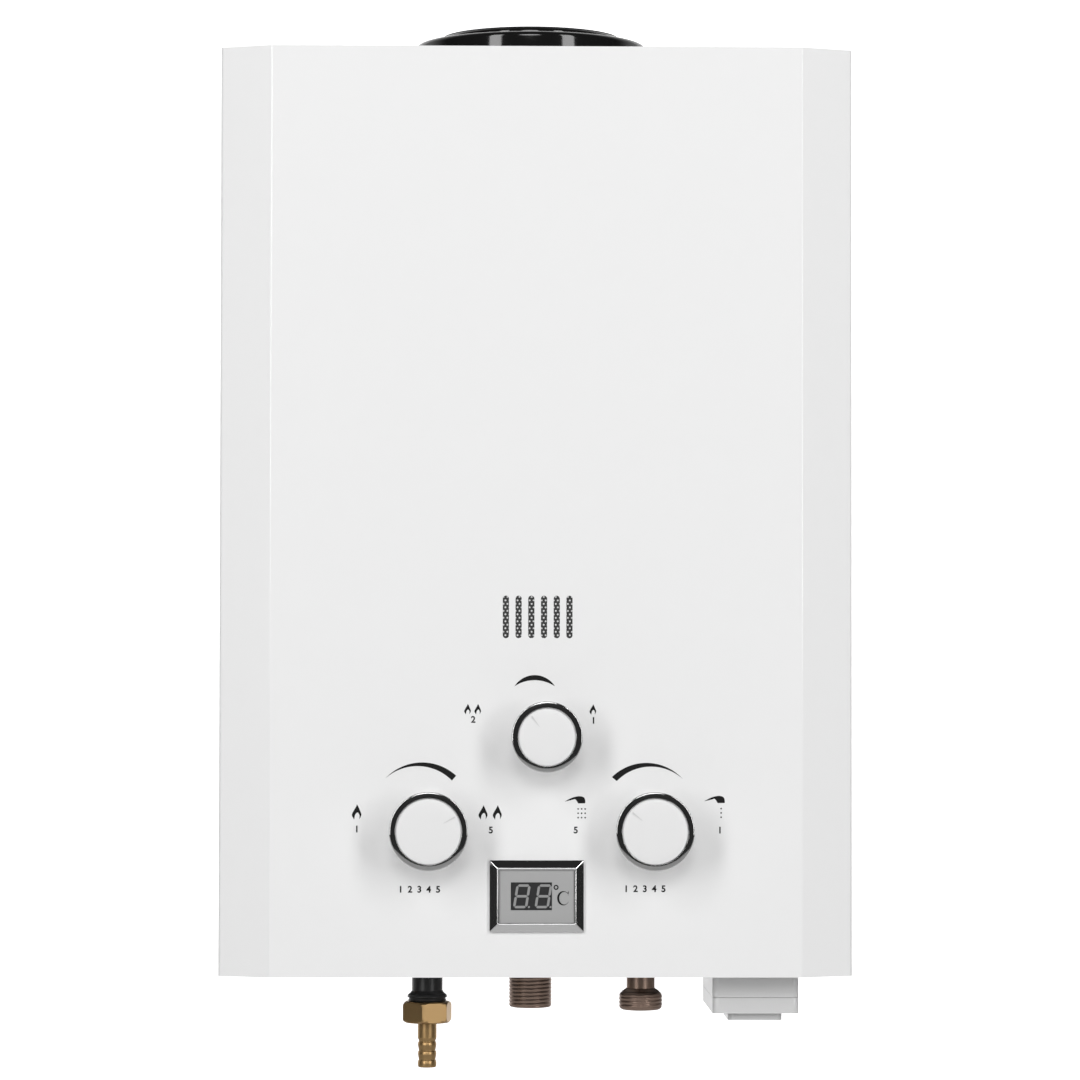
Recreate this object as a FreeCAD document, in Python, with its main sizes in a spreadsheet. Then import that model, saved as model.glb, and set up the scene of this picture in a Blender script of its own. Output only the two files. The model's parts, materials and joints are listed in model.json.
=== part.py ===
"""A wall-hung flued gas water heater, as an assembly of separate pieces.

The frame: +X to the viewer's right, +Y into the wall, +Z up. The origin is on the wall plane, at the
middle of the casing's lower edge. All sizes are millimetres.
"""

import FreeCAD, Part
import math
import os
import re

import Sketcher

SIZES = {
    # casing: a folded white steel cover over a zinc-plated back plate
    "case_width": 300.0,
    "case_height": 440.0,
    "case_depth": 125.0,
    "bevel_width": 24.5,
    "bevel_setback": 10.0,
    "sheet_gauge": 0.8,
    "bevel_bend": 2.0,
    "plate_gauge": 1.0,
    "plate_flange": 14.0,
    "fit_gap": 0.3,
    "slip_gap": 0.1,
    "running_gap": 0.05,
    # wall fixings in the back plate
    "keyhole_side": 80.0,
    "keyhole_drop": 40.0,
    "keyhole_radius": 5.0,
    "keyhole_neck": 2.6,
    "keyhole_rise": 9.0,
    "wall_hole_side": 135.0,
    "wall_hole_height": 35.0,
    "wall_hole_radius": 3.0,
    "swage_side": 40.0,
    "swage_width": 16.0,
    "swage_depth": 2.5,
    "swage_margin": 60.0,
    # flue collar
    "flue_shift": 2.0,
    "flue_bore": 42.5,
    "collar_gauge": 1.5,
    "collar_rise": 12.3,
    "step_radius": 56.5,
    "step_rise": 8.3,
    "notch_gap": 2.5,
    # heat exchanger stack
    "side_room": 55.0,
    "front_room": 22.0,
    "rear_room": 23.0,
    "hood_gap": 0.7,
    "hood_height": 88.5,
    "hood_gauge": 0.8,
    "hood_mouth": 39.0,
    "hood_top_half": 46.0,
    "fin_height": 50.0,
    "fin_pitch": 15.0,
    "fin_gauge": 1.6,
    "fin_count": 12,
    "tube_radius": 6.0,
    "tube_pitch": 20.0,
    "chamber_gauge": 1.0,
    "bend_setback": 4.0,
    "pipe_room": 20.0,
    "coil_gap": 30.0,
    "coil_pitch": 29.0,
    "bracket_gauge": 1.5,
    "bracket_drop": 20.0,
    "bracket_width": 20.0,
    "bracket_reach": 34.0,
    "thermal_flats": 16.0,
    "thermal_depth": 6.0,
    "thermal_drop": 20.0,
    # burner
    "finger_low": 109.0,
    "finger_height": 48.0,
    "finger_count": 8,
    "finger_width": 10.0,
    "finger_margin": 7.0,
    "deck_height": 19.0,
    "deck_gap": 1.0,
    "port_width": 3.0,
    "port_depth": 3.0,
    "venturi_height": 15.0,
    "venturi_front": 38.0,
    "venturi_rear": 30.0,
    "venturi_depth": 24.0,
    "venturi_wall": 1.5,
    "riser_length": 20.0,
    "chamber_lap": 23.0,
    "rail_height": 5.0,
    "rail_width": 6.0,
    "rail_front": 42.0,
    "rail_rear": 82.0,
    "cheek_gauge": 1.5,
    "tab_side": 60.0,
    "tab_width": 20.0,
    "manifold_front": 13.0,
    "manifold_depth": 18.0,
    "manifold_height": 14.0,
    "manifold_low": 107.0,
    "jet_flats": 6.0,
    "jet_length": 5.0,
    "electrode_side": 34.0,
    "electrode_lift": 8.0,
    "ceramic_flats": 6.0,
    "ceramic_front": 13.0,
    "ceramic_length": 15.0,
    "wire_gauge": 1.6,
    "wire_length": 12.0,
    # flame window in the cover
    "slot_count": 6,
    "slot_pitch": 6.0,
    "slot_width": 2.9,
    "slot_length": 20.1,
    "slot_height": 169.7,
    "slot_shift": 0.5,
    "mesh_margin": 5.0,
    "mesh_gauge": 0.5,
    "peep_half": 24.0,
    # knobs
    "knob_height": 69.4,
    "gas_knob_side": 50.7,
    "water_knob_side": 55.2,
    "season_knob_side": 4.6,
    "season_knob_height": 113.5,
    "knob_radius": 18.4,
    "cap_radius": 15.5,
    "small_knob_radius": 16.6,
    "small_cap_radius": 13.6,
    "knob_gap": 1.0,
    "ring_low": 15.0,
    "cap_height": 20.6,
    "ring_height": 21.2,
    "spindle_width": 4.2,
    "spindle_room": 6.1,
    "spindle_grip": 11.0,
    "knob_hole": 8.0,
    "pointer_length": 6.0,
    "pointer_width": 1.0,
    "pointer_depth": 0.4,
    "pointer_inset": 1.5,
    "gas_pointer": 29.0,
    "season_pointer": 127.0,
    "water_pointer": 140.0,
    # display
    "display_shift": 0.2,
    "display_height": 38.3,
    "bezel_width": 44.5,
    "bezel_height": 33.9,
    "bezel_rise": 3.6,
    "bezel_slope": 3.8,
    "window_width": 35.4,
    "window_height": 25.4,
    "collar_wall": 0.8,
    "collar_depth": 6.8,
    "panel_gauge": 1.5,
    "panel_sink": 1.7,
    "digits_width": 19.2,
    "digits_height": 12.9,
    "digits_shift": 2.5,
    "board_gauge": 1.6,
    # pipe fittings under the casing
    "fitting_plate_height": 18.0,
    "fitting_plate_gauge": 1.5,
    "fitting_plate_gap": 21.0,
    "fitting_plate_spacing": 5.3,
    "fitting_plate_upstand": 14.0,
    "valve_setback": 75.0,
    "valve_low": 45.0,
    "valve_high": 95.0,
    "gas_inlet_side": 51.4,
    "gas_stub_radius": 7.4,
    "gas_bore": 4.0,
    "gas_ridge_radius": 9.75,
    "gas_ridge_low": 15.0,
    "gas_ridge_height": 4.1,
    "nut_flats": 21.5,
    "nut_low": 25.2,
    "barb_end": 46.7,
    "barb_radius": 4.55,
    "barb_tip": 3.9,
    "barb_bore": 2.6,
    "barb_land": 3.0,
    "barb_pitch": 4.6,
    "water_thread_radius": 10.4775,
    "water_bore": 6.3,
    "hot_side": 1.1,
    "hot_end": 20.4,
    "hot_run_height": 42.0,
    "cold_side": 51.5,
    "cold_end": 19.1,
    "cold_shoulder": 10.8,
    "cold_neck": 6.8,
    "cold_wall": 2.0,
    "spanner_flats": 24.0,
    "spanner_height": 3.0,
    "pipe_nut_flats": 19.0,
    "pipe_nut_length": 10.0,
    # gas valve
    "gas_block_left": 72.0,
    "gas_block_right": 28.0,
    "gas_block_gap": 19.0,
    "gas_block_wall": 13.0,
    "gland_flats": 18.0,
    "neck_flats": 20.0,
    "boss_depth": 4.0,
    "spindle_seat": 12.0,
    "plug_chamber_flats": 20.0,
    "plug_chamber_end": 40.0,
    "plug_flats": 17.0,
    "plug_thickness": 4.0,
    "valve_cap_flats": 24.0,
    "valve_cap_gauge": 4.0,
    "spring_flats": 12.0,
    "solenoid_flats": 24.0,
    "solenoid_length": 26.0,
    "solenoid_lift": 8.0,
    "riser_side": 40.0,
    "riser_gap": 25.0,
    "riser_flats": 12.0,
    # water valve and the link between the valves
    "water_block_left": 36.0,
    "water_block_spacing": 6.3,
    "water_block_gap": 29.0,
    "water_block_wall": 19.0,
    "dish_flats": 54.0,
    "dish_depth": 10.0,
    "diaphragm_gauge": 2.0,
    "dish_cover_depth": 12.0,
    "dish_wall": 2.0,
    "dish_rim": 5.0,
    "rod_flats": 5.0,
    "rod_disc_flats": 16.0,
    "rod_disc_gauge": 2.5,
    "rod_collar_place": 6.0,
    "rod_collar_flats": 10.0,
    "rod_collar_gauge": 3.0,
    "switch_low": 80.0,
    "switch_high": 92.0,
    "switch_right": 10.0,
    "switch_half": 8.0,
    "lever_place": 7.5,
    "lever_gauge": 1.2,
    "lever_half": 5.0,
    "lever_tip": 73.0,
    "lever_pivot": 82.0,
    "lever_eye": 1.8,
    "pivot_flats": 1.6,
    "ear_gauge": 1.8,
    "ear_gap": 0.2,
    # igniter
    "module_margin": 6.0,
    "module_width": 38.0,
    "module_low": 75.0,
    "module_high": 135.0,
    "module_depth": 30.0,
    "lead_radius": 1.25,
    "lead_bend": 3.0,
    "lead_front": 6.0,
    "lead_setback": 16.0,
    # battery holder for two D cells, standing one behind the other
    "battery_margin": 24.6,
    "battery_width": 41.1,
    "battery_front": 18.0,
    "battery_length": 80.0,
    "battery_wall": 2.0,
    "battery_corner": 3.0,
    "battery_top": 58.0,
    "battery_seam": 10.8,
    "battery_bottom": 18.4,
    "door_gap": 0.15,
    "grip_width": 25.8,
    "grip_length": 34.0,
    "grip_drop": 3.6,
    "grip_front": 5.0,
    "battery_flange": 4.0,
    "flange_gauge": 2.0,
    "cell_radius": 16.5,
    "cell_length": 60.0,
    "cell_spacing": 36.0,
    "cell_foot": 8.0,
    "contact_gauge": 0.5,
    "contact_half": 6.0,
    "hinge_offset": 2.6,
    "hinge_radius": 1.0,
    "knuckle_size": 1.8,
    "knuckle_half": 9.0,
    "hinge_half": 18.0,
    # openings in the cover's floor
    "floor_hole_side": 76.0,
    "floor_hole_front": 100.0,
    "floor_hole_rear": 18.0,
    "vent_count": 6,
    "vent_pitch": 8.0,
    "vent_width": 4.0,
    "vent_length": 70.0,
    "vent_first": 88.0,
    "vent_front": 97.0,
}

# planes and axes that several pieces share, worked out from the sizes
PLACES = {
    "front": "-case_depth",
    "inner_front": "-case_depth + sheet_gauge",
    "plate_face": "-plate_gauge",
    "plate_half": "case_width/2 - sheet_gauge - fit_gap",
    "plate_low": "sheet_gauge + fit_gap",
    "plate_high": "case_height - sheet_gauge - fit_gap",
    "chamber_half": "case_width/2 - side_room",
    "chamber_front": "-case_depth + front_room",
    "chamber_rear": "-rear_room",
    "chamber_low": "finger_low + chamber_lap",
    "flue_y": "(chamber_front + chamber_rear)/2",
    "tube_y": "flue_y + tube_pitch",
    "pipe_side": "chamber_half + pipe_room",
    "hood_top": "case_height - sheet_gauge - hood_gap",
    "fin_top": "hood_top - hood_height",
    "fin_low": "fin_top - fin_height",
    "tube_level": "fin_low + fin_height/2",
    "flue_outer": "flue_bore + collar_gauge",
    "deck_low": "finger_low + finger_height - deck_height",
    "deck_high": "finger_low + finger_height",
    "deck_front": "chamber_front + chamber_gauge + deck_gap",
    "deck_rear": "chamber_rear - chamber_gauge - deck_gap",
    "venturi_mouth": "-case_depth + venturi_front",
    "venturi_level": "finger_low + venturi_height/2",
    "finger_pitch": "(chamber_half - finger_margin)*2/finger_count",
    "manifold_face": "-case_depth + manifold_front",
    "manifold_back": "-case_depth + manifold_front + manifold_depth",
    "rail_low": "finger_low - rail_height",
    "electrode_level": "deck_high + electrode_lift",
    "plate_top": "fitting_plate_height + fitting_plate_gauge",
    "coil_low": "electrode_level + coil_gap",
    "coil_side": "chamber_half + tube_radius + fit_gap",
    "coil_front": "chamber_front - tube_radius - fit_gap",
    "coil_rear": "chamber_rear + tube_radius + fit_gap",
    "battery_right": "case_width/2 - battery_margin",
    "battery_left": "battery_right - battery_width",
    "battery_middle": "battery_right - battery_width/2",
    "water_block_right": "battery_left - water_block_spacing",
    "fitting_plate_side": "battery_left - fitting_plate_spacing",
    "battery_near": "-case_depth + battery_front",
    "battery_far": "battery_near + battery_length",
    "hinge_y": "battery_far + hinge_offset",
    "dish_face": "water_block_left - dish_depth",
    "cover_face": "dish_face - diaphragm_gauge",
    "board_front": "-case_depth + collar_depth",
    "gas_front": "-case_depth + gas_block_gap",
    "gas_rear": "-valve_setback + gas_block_wall",
    "valve_nose": "gas_front - boss_depth",
    "water_front": "-case_depth + water_block_gap",
    "water_rear": "-valve_setback + water_block_wall",
    "module_right": "case_width/2 - module_margin",
    "module_left": "module_right - module_width",
    "module_middle": "module_right - module_width/2",
}

DOC = FreeCAD.newDocument("WaterHeater")
SHEET = DOC.addObject("Spreadsheet::Sheet", "Sizes")
for row, (name, number) in enumerate(SIZES.items(), start=1):
    SHEET.set(f"A{row}", name)
    SHEET.set(f"B{row}", str(number))
    SHEET.setAlias(f"B{row}", name)
DOC.recompute()

PIECES = []
PIPE_SIDES = 8


def formula(text):
    """The text with each place worked out and each size read from its cell."""
    words = "|".join(PLACES)
    while re.search(rf"\b({words})\b", text):
        text = re.sub(rf"\b({words})\b", lambda found: f"({PLACES[found.group(1)]})", text)
    return re.sub(rf"\b({'|'.join(SIZES)})\b", r"Sizes.\1", text)


def number(text):
    """The present value of a formula, for the few shapes that are made point by point."""
    return float(SHEET.evalExpression(formula(str(text))))


def bind(thing, **fields):
    for field, text in fields.items():
        thing.setExpression(field, formula(str(text)))


def put(thing, x, y, z, turn=None):
    """Places a solid at a point given by formulas, after an optional fixed rotation."""
    if turn:
        thing.Placement = FreeCAD.Placement(FreeCAD.Vector(), turn)
    for axis, text in zip("xyz", (x, y, z)):
        thing.setExpression(f"Placement.Base.{axis}", formula(str(text)))


def piece(label, solid):
    solid.Label = label
    PIECES.append(solid)
    return solid


def box(name, x, y, z):
    """A block between two formulas along each axis."""
    solid = DOC.addObject("Part::Box", name)
    spans = {"Length": x, "Width": y, "Height": z}
    bind(solid, **{side: f"({high}) - ({low})" for side, (low, high) in spans.items()})
    put(solid, x[0], y[0], z[0])
    return solid


TURNS = {
    "X": FreeCAD.Rotation(FreeCAD.Vector(0, 1, 0), 90),
    "Y": FreeCAD.Rotation(FreeCAD.Vector(1, 0, 0), -90),
    "Z": None,
}


def lay_along(solid, axis, centre, start):
    """Places a round solid with its axis along X, Y or Z through a centre, from a start plane."""
    a, b = centre
    spots = {"X": (start, a, b), "Y": (a, start, b), "Z": (a, b, start)}
    put(solid, *spots[axis], turn=TURNS[axis])
    return solid


def rod(name, axis, centre, span, radius):
    solid = DOC.addObject("Part::Cylinder", name)
    bind(solid, Radius=radius, Height=f"({span[1]}) - ({span[0]})")
    return lay_along(solid, axis, centre, span[0])


def fuse(name, *solids):
    joined = DOC.addObject("Part::MultiFuse", name)
    joined.Shapes = list(solids)
    return joined


def cut(name, base, *tools):
    left = DOC.addObject("Part::Cut", name)
    left.Base = base
    left.Tool = tools[0] if len(tools) == 1 else fuse(name + "_tools", *tools)
    return left


def group(name, *solids):
    """Separate solids that share one node."""
    together = DOC.addObject("Part::Compound", name)
    together.Links = list(solids)
    return together


def sketch_on(body, plane, lift="0"):
    """An empty sketch on one of the body's own origin planes, lifted along its normal."""
    sketch = body.newObject("Sketcher::SketchObject", f"{body.Name}_sketch")
    origin = next(f for f in body.Origin.OriginFeatures if f.Role == plane)
    sketch.AttachmentSupport = [(origin, "")]
    sketch.MapMode = "FlatFace"
    sketch.setExpression("AttachmentOffset.Base.z", formula(lift))
    return sketch


def pin_down(sketch, edge, end, u, v):
    """Fixes one point of a sketch by its two coordinates, each a formula."""
    for kind, text in (("DistanceX", u), ("DistanceY", v)):
        index = sketch.addConstraint(Sketcher.Constraint(kind, edge, end, number(text)))
        sketch.setExpression(f"Constraints[{index}]", formula(str(text)))


def outline(sketch, points):
    """A closed outline of straight edges through points given by formulas."""
    spots = [FreeCAD.Vector(number(u), number(v), 0) for u, v in points]
    edges = [
        sketch.addGeometry(Part.LineSegment(spot, spots[(i + 1) % len(spots)]))
        for i, spot in enumerate(spots)
    ]
    for i, edge in enumerate(edges):
        following = edges[(i + 1) % len(edges)]
        sketch.addConstraint(Sketcher.Constraint("Coincident", edge, 2, following, 1))
        pin_down(sketch, edge, 1, *points[i])


def circle(sketch, u, v, radius):
    round_edge = Part.Circle(FreeCAD.Vector(number(u), number(v), 0), FreeCAD.Vector(0, 0, 1), number(radius))
    edge = sketch.addGeometry(round_edge)
    pin_down(sketch, edge, 3, u, v)
    index = sketch.addConstraint(Sketcher.Constraint("Radius", edge, number(radius)))
    sketch.setExpression(f"Constraints[{index}]", formula(radius))


def rectangle(sketch, u, v):
    outline(sketch, [(u[0], v[0]), (u[1], v[0]), (u[1], v[1]), (u[0], v[1])])


def slot(sketch, u, v, length, width):
    """An upright slot with round ends, centred at (u, v)."""
    radius = f"({width})/2"
    reach = f"({length} - ({width}))/2"
    low, high = f"{v} - ({reach})", f"{v} + ({reach})"
    up = FreeCAD.Vector(0, 0, 1)
    arcs = []
    for level, start in ((high, 0), (low, math.pi)):
        centre = FreeCAD.Vector(number(u), number(level), 0)
        arc = Part.ArcOfCircle(Part.Circle(centre, up, number(radius)), start, start + math.pi)
        arcs.append(sketch.addGeometry(arc))
        pin_down(sketch, arcs[-1], 3, u, level)
    ends = [sketch.Geometry[arc].toShape().Vertexes for arc in arcs]
    right = sketch.addGeometry(Part.LineSegment(ends[1][1].Point, ends[0][0].Point))
    left = sketch.addGeometry(Part.LineSegment(ends[0][1].Point, ends[1][0].Point))
    for a, a_end, b, b_end in (
        (arcs[0], 1, right, 2), (arcs[1], 2, right, 1), (arcs[0], 2, left, 1), (arcs[1], 1, left, 2)
    ):
        sketch.addConstraint(Sketcher.Constraint("Tangent", a, a_end, b, b_end))
    index = sketch.addConstraint(Sketcher.Constraint("Radius", arcs[0], number(radius)))
    sketch.setExpression(f"Constraints[{index}]", formula(radius))


def new_body(name):
    return DOC.addObject("PartDesign::Body", name)


def pad(body, sketch, length):
    feature = body.newObject("PartDesign::Pad", f"{body.Name}_pad")
    feature.Profile = sketch
    bind(feature, Length=length)
    DOC.recompute()
    return feature


def pocket(body, sketch, length, towards_normal=False):
    feature = body.newObject("PartDesign::Pocket", f"{body.Name}_pocket")
    feature.Profile = sketch
    feature.Reversed = towards_normal
    bind(feature, Length=length)
    before = body.Shape.Volume
    DOC.recompute()
    if not body.Shape.Volume < before:
        raise ValueError(f"a pocket of {body.Name} cuts nothing")
    return feature


def repeat(body, feature, axis, pitch, count):
    """Copies of a feature in a row along one of the body's own axes."""
    pattern = body.newObject("PartDesign::LinearPattern", f"{body.Name}_row")
    pattern.Originals = [feature]
    pattern.Direction = (next(f for f in body.Origin.OriginFeatures if f.Role == axis), [""])
    pattern.Mode = "Spacing"
    bind(pattern, Offset=pitch, Occurrences=count)
    body.Tip = pattern
    DOC.recompute()
    return pattern


def round_off(body, feature, radius, wanted):
    """Fillets the feature's edges for which wanted(edge) is true."""
    names = [f"Edge{i}" for i, edge in enumerate(feature.Shape.Edges, start=1) if wanted(edge)]
    fillet = body.newObject("PartDesign::Fillet", f"{body.Name}_fillet")
    fillet.Base = (feature, names)
    bind(fillet, Radius=radius)
    DOC.recompute()
    return fillet


def hollow(body, feature, gauge, open_face):
    """Leaves a wall of the gauge inside the outer faces, with the chosen faces open."""
    names = [f"Face{i}" for i, face in enumerate(feature.Shape.Faces, start=1) if open_face(face)]
    shell = body.newObject("PartDesign::Thickness", f"{body.Name}_shell")
    shell.Base = (feature, names)
    shell.Reversed = True
    bind(shell, Value=gauge)
    DOC.recompute()
    return shell


def runs_along(edge, axis):
    ends = [vertex.Point for vertex in edge.Vertexes]
    return len(ends) == 2 and abs(abs((ends[1] - ends[0]).dot(axis)) - edge.Length) < 1e-6


def turned(name, points, x, y, z, turn=None):
    """A solid of revolution: points are (radius, height), turned about the body's own Z axis."""
    body = new_body(name)
    sketch = sketch_on(body, "XZ_Plane")
    outline(sketch, points)
    feature = body.newObject("PartDesign::Revolution", f"{name}_turn")
    feature.Profile = sketch
    feature.ReferenceAxis = (sketch, ["V_Axis"])
    feature.Angle = 360
    put(body, x, y, z, turn)
    DOC.recompute()
    return body


def pipe(name, points, radius, setback):
    """An eight-sided bar along straight runs, with each corner cut across by one short run."""
    spots = [FreeCAD.Vector(*[number(text) for text in point]) for point in points]
    route, setback = [spots[0]], number(setback)
    for before, corner, after in zip(spots, spots[1:], spots[2:]):
        route.append(corner + (before - corner).normalize() * setback)
        route.append(corner + (after - corner).normalize() * setback)
    route.append(spots[-1])
    path = Part.makePolygon(route)
    round_section = Part.makeCircle(number(radius), route[0], route[1] - route[0])
    corners = round_section.discretize(Number=PIPE_SIDES + 1)[:-1]
    section = Part.makePolygon(corners + corners[:1])
    solid = DOC.addObject("Part::Feature", name)
    solid.Shape = path.makePipeShell([section], True, False, 1)
    area = PIPE_SIDES / 2 * math.sin(2 * math.pi / PIPE_SIDES) * number(radius) ** 2
    if abs(solid.Shape.Volume / (area * path.Length) - 1) > 0.02:
        raise ValueError(f"{name} has the wrong volume for its length")
    return solid


UP = FreeCAD.Vector(0, 0, 1)
ACROSS = FreeCAD.Vector(1, 0, 0)
TO_VIEWER = FreeCAD.Rotation(ACROSS, 90)


def front_cover():
    """One folded sheet: front face, two bevels, two sides, a roof and a floor, open to the wall."""
    body = new_body("front_cover")
    plan = sketch_on(body, "XY_Plane")
    half, face = "case_width/2", "case_width/2 - bevel_width"
    shoulder = "front + bevel_setback"
    outline(plan, [
        (f"-({half})", "0"), (f"-({half})", shoulder), (f"-({face})", "front"),
        (face, "front"), (half, shoulder), (half, "0"),
    ])
    block = pad(body, plan, "case_height")
    depth = number("case_depth")
    bevels = round_off(
        body, block, "bevel_bend", lambda edge: runs_along(edge, UP) and edge.Vertexes[0].Y < -depth / 2
    )
    hollow(body, bevels, "sheet_gauge", lambda face: face.BoundBox.YMin > -1e-6)

    knobs = sketch_on(body, "XZ_Plane", "case_depth")
    circle(knobs, "-gas_knob_side", "knob_height", "knob_hole")
    circle(knobs, "water_knob_side", "knob_height", "knob_hole")
    circle(knobs, "season_knob_side", "season_knob_height", "knob_hole")
    pocket(body, knobs, "sheet_gauge*2")

    display = sketch_on(body, "XZ_Plane", "case_depth")
    half_width = "window_width/2 + collar_wall + slip_gap*2"
    half_height = "window_height/2 + collar_wall + slip_gap*2"
    rectangle(
        display,
        (f"display_shift - ({half_width})", f"display_shift + ({half_width})"),
        (f"display_height - ({half_height})", f"display_height + ({half_height})"),
    )
    pocket(body, display, "sheet_gauge*2")

    slots = sketch_on(body, "XZ_Plane", "case_depth")
    slot(slots, "slot_shift - slot_pitch*(slot_count - 1)/2", "slot_height", "slot_length", "slot_width")
    first = pocket(body, slots, "sheet_gauge*2")
    repeat(body, first, "X_Axis", "slot_pitch", "slot_count")

    notch = sketch_on(body, "XY_Plane", "case_height")
    circle(notch, "-flue_shift", "flue_y", "flue_outer + notch_gap")
    pocket(body, notch, "sheet_gauge*2")
    lane = sketch_on(body, "XY_Plane", "case_height")
    reach = "flue_outer + notch_gap"
    rectangle(lane, (f"-flue_shift - ({reach})", f"-flue_shift + {reach}"), ("flue_y", "0"))
    pocket(body, lane, "sheet_gauge*2")

    floor = sketch_on(body, "XY_Plane")
    rectangle(floor, ("-floor_hole_side", "floor_hole_side"), ("-floor_hole_front", "-floor_hole_rear"))
    rectangle(
        floor,
        ("battery_left - fit_gap", "battery_right + fit_gap"),
        ("battery_near - fit_gap", "battery_far + fit_gap"),
    )
    pocket(body, floor, "sheet_gauge*2", towards_normal=True)
    vents = sketch_on(body, "XY_Plane")
    rectangle(
        vents,
        ("-vent_first - vent_width", "-vent_first"),
        ("-vent_front", "-vent_front + vent_length"),
    )
    first_vent = pocket(body, vents, "sheet_gauge*2", towards_normal=True)
    vent_row = repeat(body, first_vent, "X_Axis", "vent_pitch", "vent_count")
    vent_row.Reversed = True
    return piece("front_cover", body)


def back_plate():
    """A shallow pressed tray against the wall, with keyholes, two screw holes and two swages."""
    body = new_body("back_plate")
    panel = sketch_on(body, "XZ_Plane")
    rectangle(panel, ("-(plate_half)", "plate_half"), ("plate_low", "plate_high"))
    pad(body, panel, "plate_flange")
    well = sketch_on(body, "XZ_Plane", "plate_flange")
    rectangle(
        well,
        ("-(plate_half) + plate_gauge", "plate_half - plate_gauge"),
        ("plate_low + plate_gauge", "plate_high - plate_gauge"),
    )
    pocket(body, well, "plate_flange - plate_gauge")

    for side in ("-swage_side", "swage_side"):
        for inset in ("0", "plate_gauge"):
            swage = sketch_on(body, "XZ_Plane")
            half = f"swage_width/2 - {inset}"
            rectangle(
                swage,
                (f"{side} - ({half})", f"{side} + {half}"),
                (f"swage_margin + {inset}", f"case_height - swage_margin - {inset}"),
            )
            if inset == "0":
                pad(body, swage, "plate_gauge + swage_depth")
            else:
                pocket(body, swage, "swage_depth", towards_normal=True)

    holes = sketch_on(body, "XZ_Plane")
    for side in ("-wall_hole_side", "wall_hole_side"):
        circle(holes, side, "wall_hole_height", "wall_hole_radius")
    for side in ("-keyhole_side", "keyhole_side"):
        circle(holes, side, "case_height - keyhole_drop", "keyhole_radius")
    pocket(body, holes, "plate_gauge*2", towards_normal=True)
    necks = sketch_on(body, "XZ_Plane")
    for side in ("-keyhole_side", "keyhole_side"):
        slot(
            necks, side, "case_height - keyhole_drop + keyhole_rise/2",
            "keyhole_rise + keyhole_neck*2", "keyhole_neck*2",
        )
    pocket(body, necks, "plate_gauge*2", towards_normal=True)
    return piece("back_plate", body)


def flat_bar(name, sides, axis, centre, span, flats):
    """A bar with four, six or eight equal flats, its width across them given."""
    prism = DOC.addObject("Part::Prism", name)
    prism.Polygon = sides
    bind(prism, Circumradius=f"({flats})/2/cos({180 / sides})", Height=f"({span[1]}) - ({span[0]})")
    lay_along(prism, axis, centre, span[0])
    lean = FreeCAD.Rotation(UP, 180 / sides)
    prism.Placement = FreeCAD.Placement(prism.Placement.Base, prism.Placement.Rotation.multiply(lean))
    return prism


def flue_collar():
    """A black pressed collar: a tube that takes the flue, and a round step that sits on the roof."""
    tube, outer = "flue_bore", "flue_bore + collar_gauge"
    body = turned("flue_collar", [
        (tube, "hood_top - case_height"), (outer, "hood_top - case_height"), (outer, "0"),
        ("step_radius", "0"), ("step_radius", "step_rise"), (outer, "step_rise"), (outer, "collar_rise"),
        (tube, "collar_rise"),
    ], "-flue_shift", "flue_y", "case_height")
    return piece("flue_collar", body)


def draft_hood():
    """A tapering sheet hood over the fins, open below, with the flue mouth in its top."""
    def frustum(name, inset, drop):
        solid = DOC.addObject("Part::Wedge", name)
        bind(
            solid, Xmin=f"-(chamber_half) + {inset}", Xmax=f"chamber_half - {inset}",
            Zmin=f"rear_room + {inset}", Zmax=f"case_depth - front_room - {inset}",
            Ymin=0, Ymax=f"hood_height - {drop}",
            X2min=f"-hood_top_half + {inset}", X2max=f"hood_top_half - {inset}",
            Z2min=f"-flue_y - hood_top_half + {inset}", Z2max=f"-flue_y + hood_top_half - {inset}",
        )
        put(solid, 0, 0, "fin_top", TO_VIEWER)
        return solid
    outside = frustum("hood_outside", "0", "0")
    inside = frustum("hood_inside", "hood_gauge", "hood_gauge")
    roof = ("hood_top - 5*hood_gauge", "hood_top")
    mouth = rod("hood_mouth", "Z", ("-flue_shift", "flue_y"), roof, "hood_mouth")
    return piece("draft_hood", cut("draft_hood", outside, inside, mouth))


def fin_block():
    """Copper fins and water tubes brazed into one block, with gas slots between the fins."""
    body = new_body("fin_block")
    plan = sketch_on(body, "XY_Plane", "fin_low")
    rectangle(plan, ("-(chamber_half)", "chamber_half"), ("chamber_front", "chamber_rear"))
    pad(body, plan, "fin_height")
    gap = sketch_on(body, "XY_Plane", "fin_low")
    half_gap = "tube_pitch/2 - tube_radius"
    first_row = "flue_y - tube_pitch*1.5"
    start = "-fin_pitch*fin_count/2 + fin_gauge/2"
    rectangle(
        gap, (start, f"{start} + fin_pitch - fin_gauge"),
        (f"{first_row} - ({half_gap})", f"{first_row} + {half_gap}"),
    )
    first = pocket(body, gap, "fin_height", towards_normal=True)
    spread = body.newObject("PartDesign::MultiTransform", "fin_block_grid")
    spread.Originals = [first]
    rows = []
    for axis, pitch, count in (("X_Axis", "fin_pitch", "fin_count"), ("Y_Axis", "tube_pitch", 4)):
        row = body.newObject("PartDesign::LinearPattern", "fin_block_row")
        row.Direction = (next(f for f in body.Origin.OriginFeatures if f.Role == axis), [""])
        row.Mode = "Spacing"
        bind(row, Offset=pitch, Occurrences=count)
        rows.append(row)
    spread.Transformations = rows
    body.Tip = spread
    DOC.recompute()
    return piece("fin_block", body)


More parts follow.
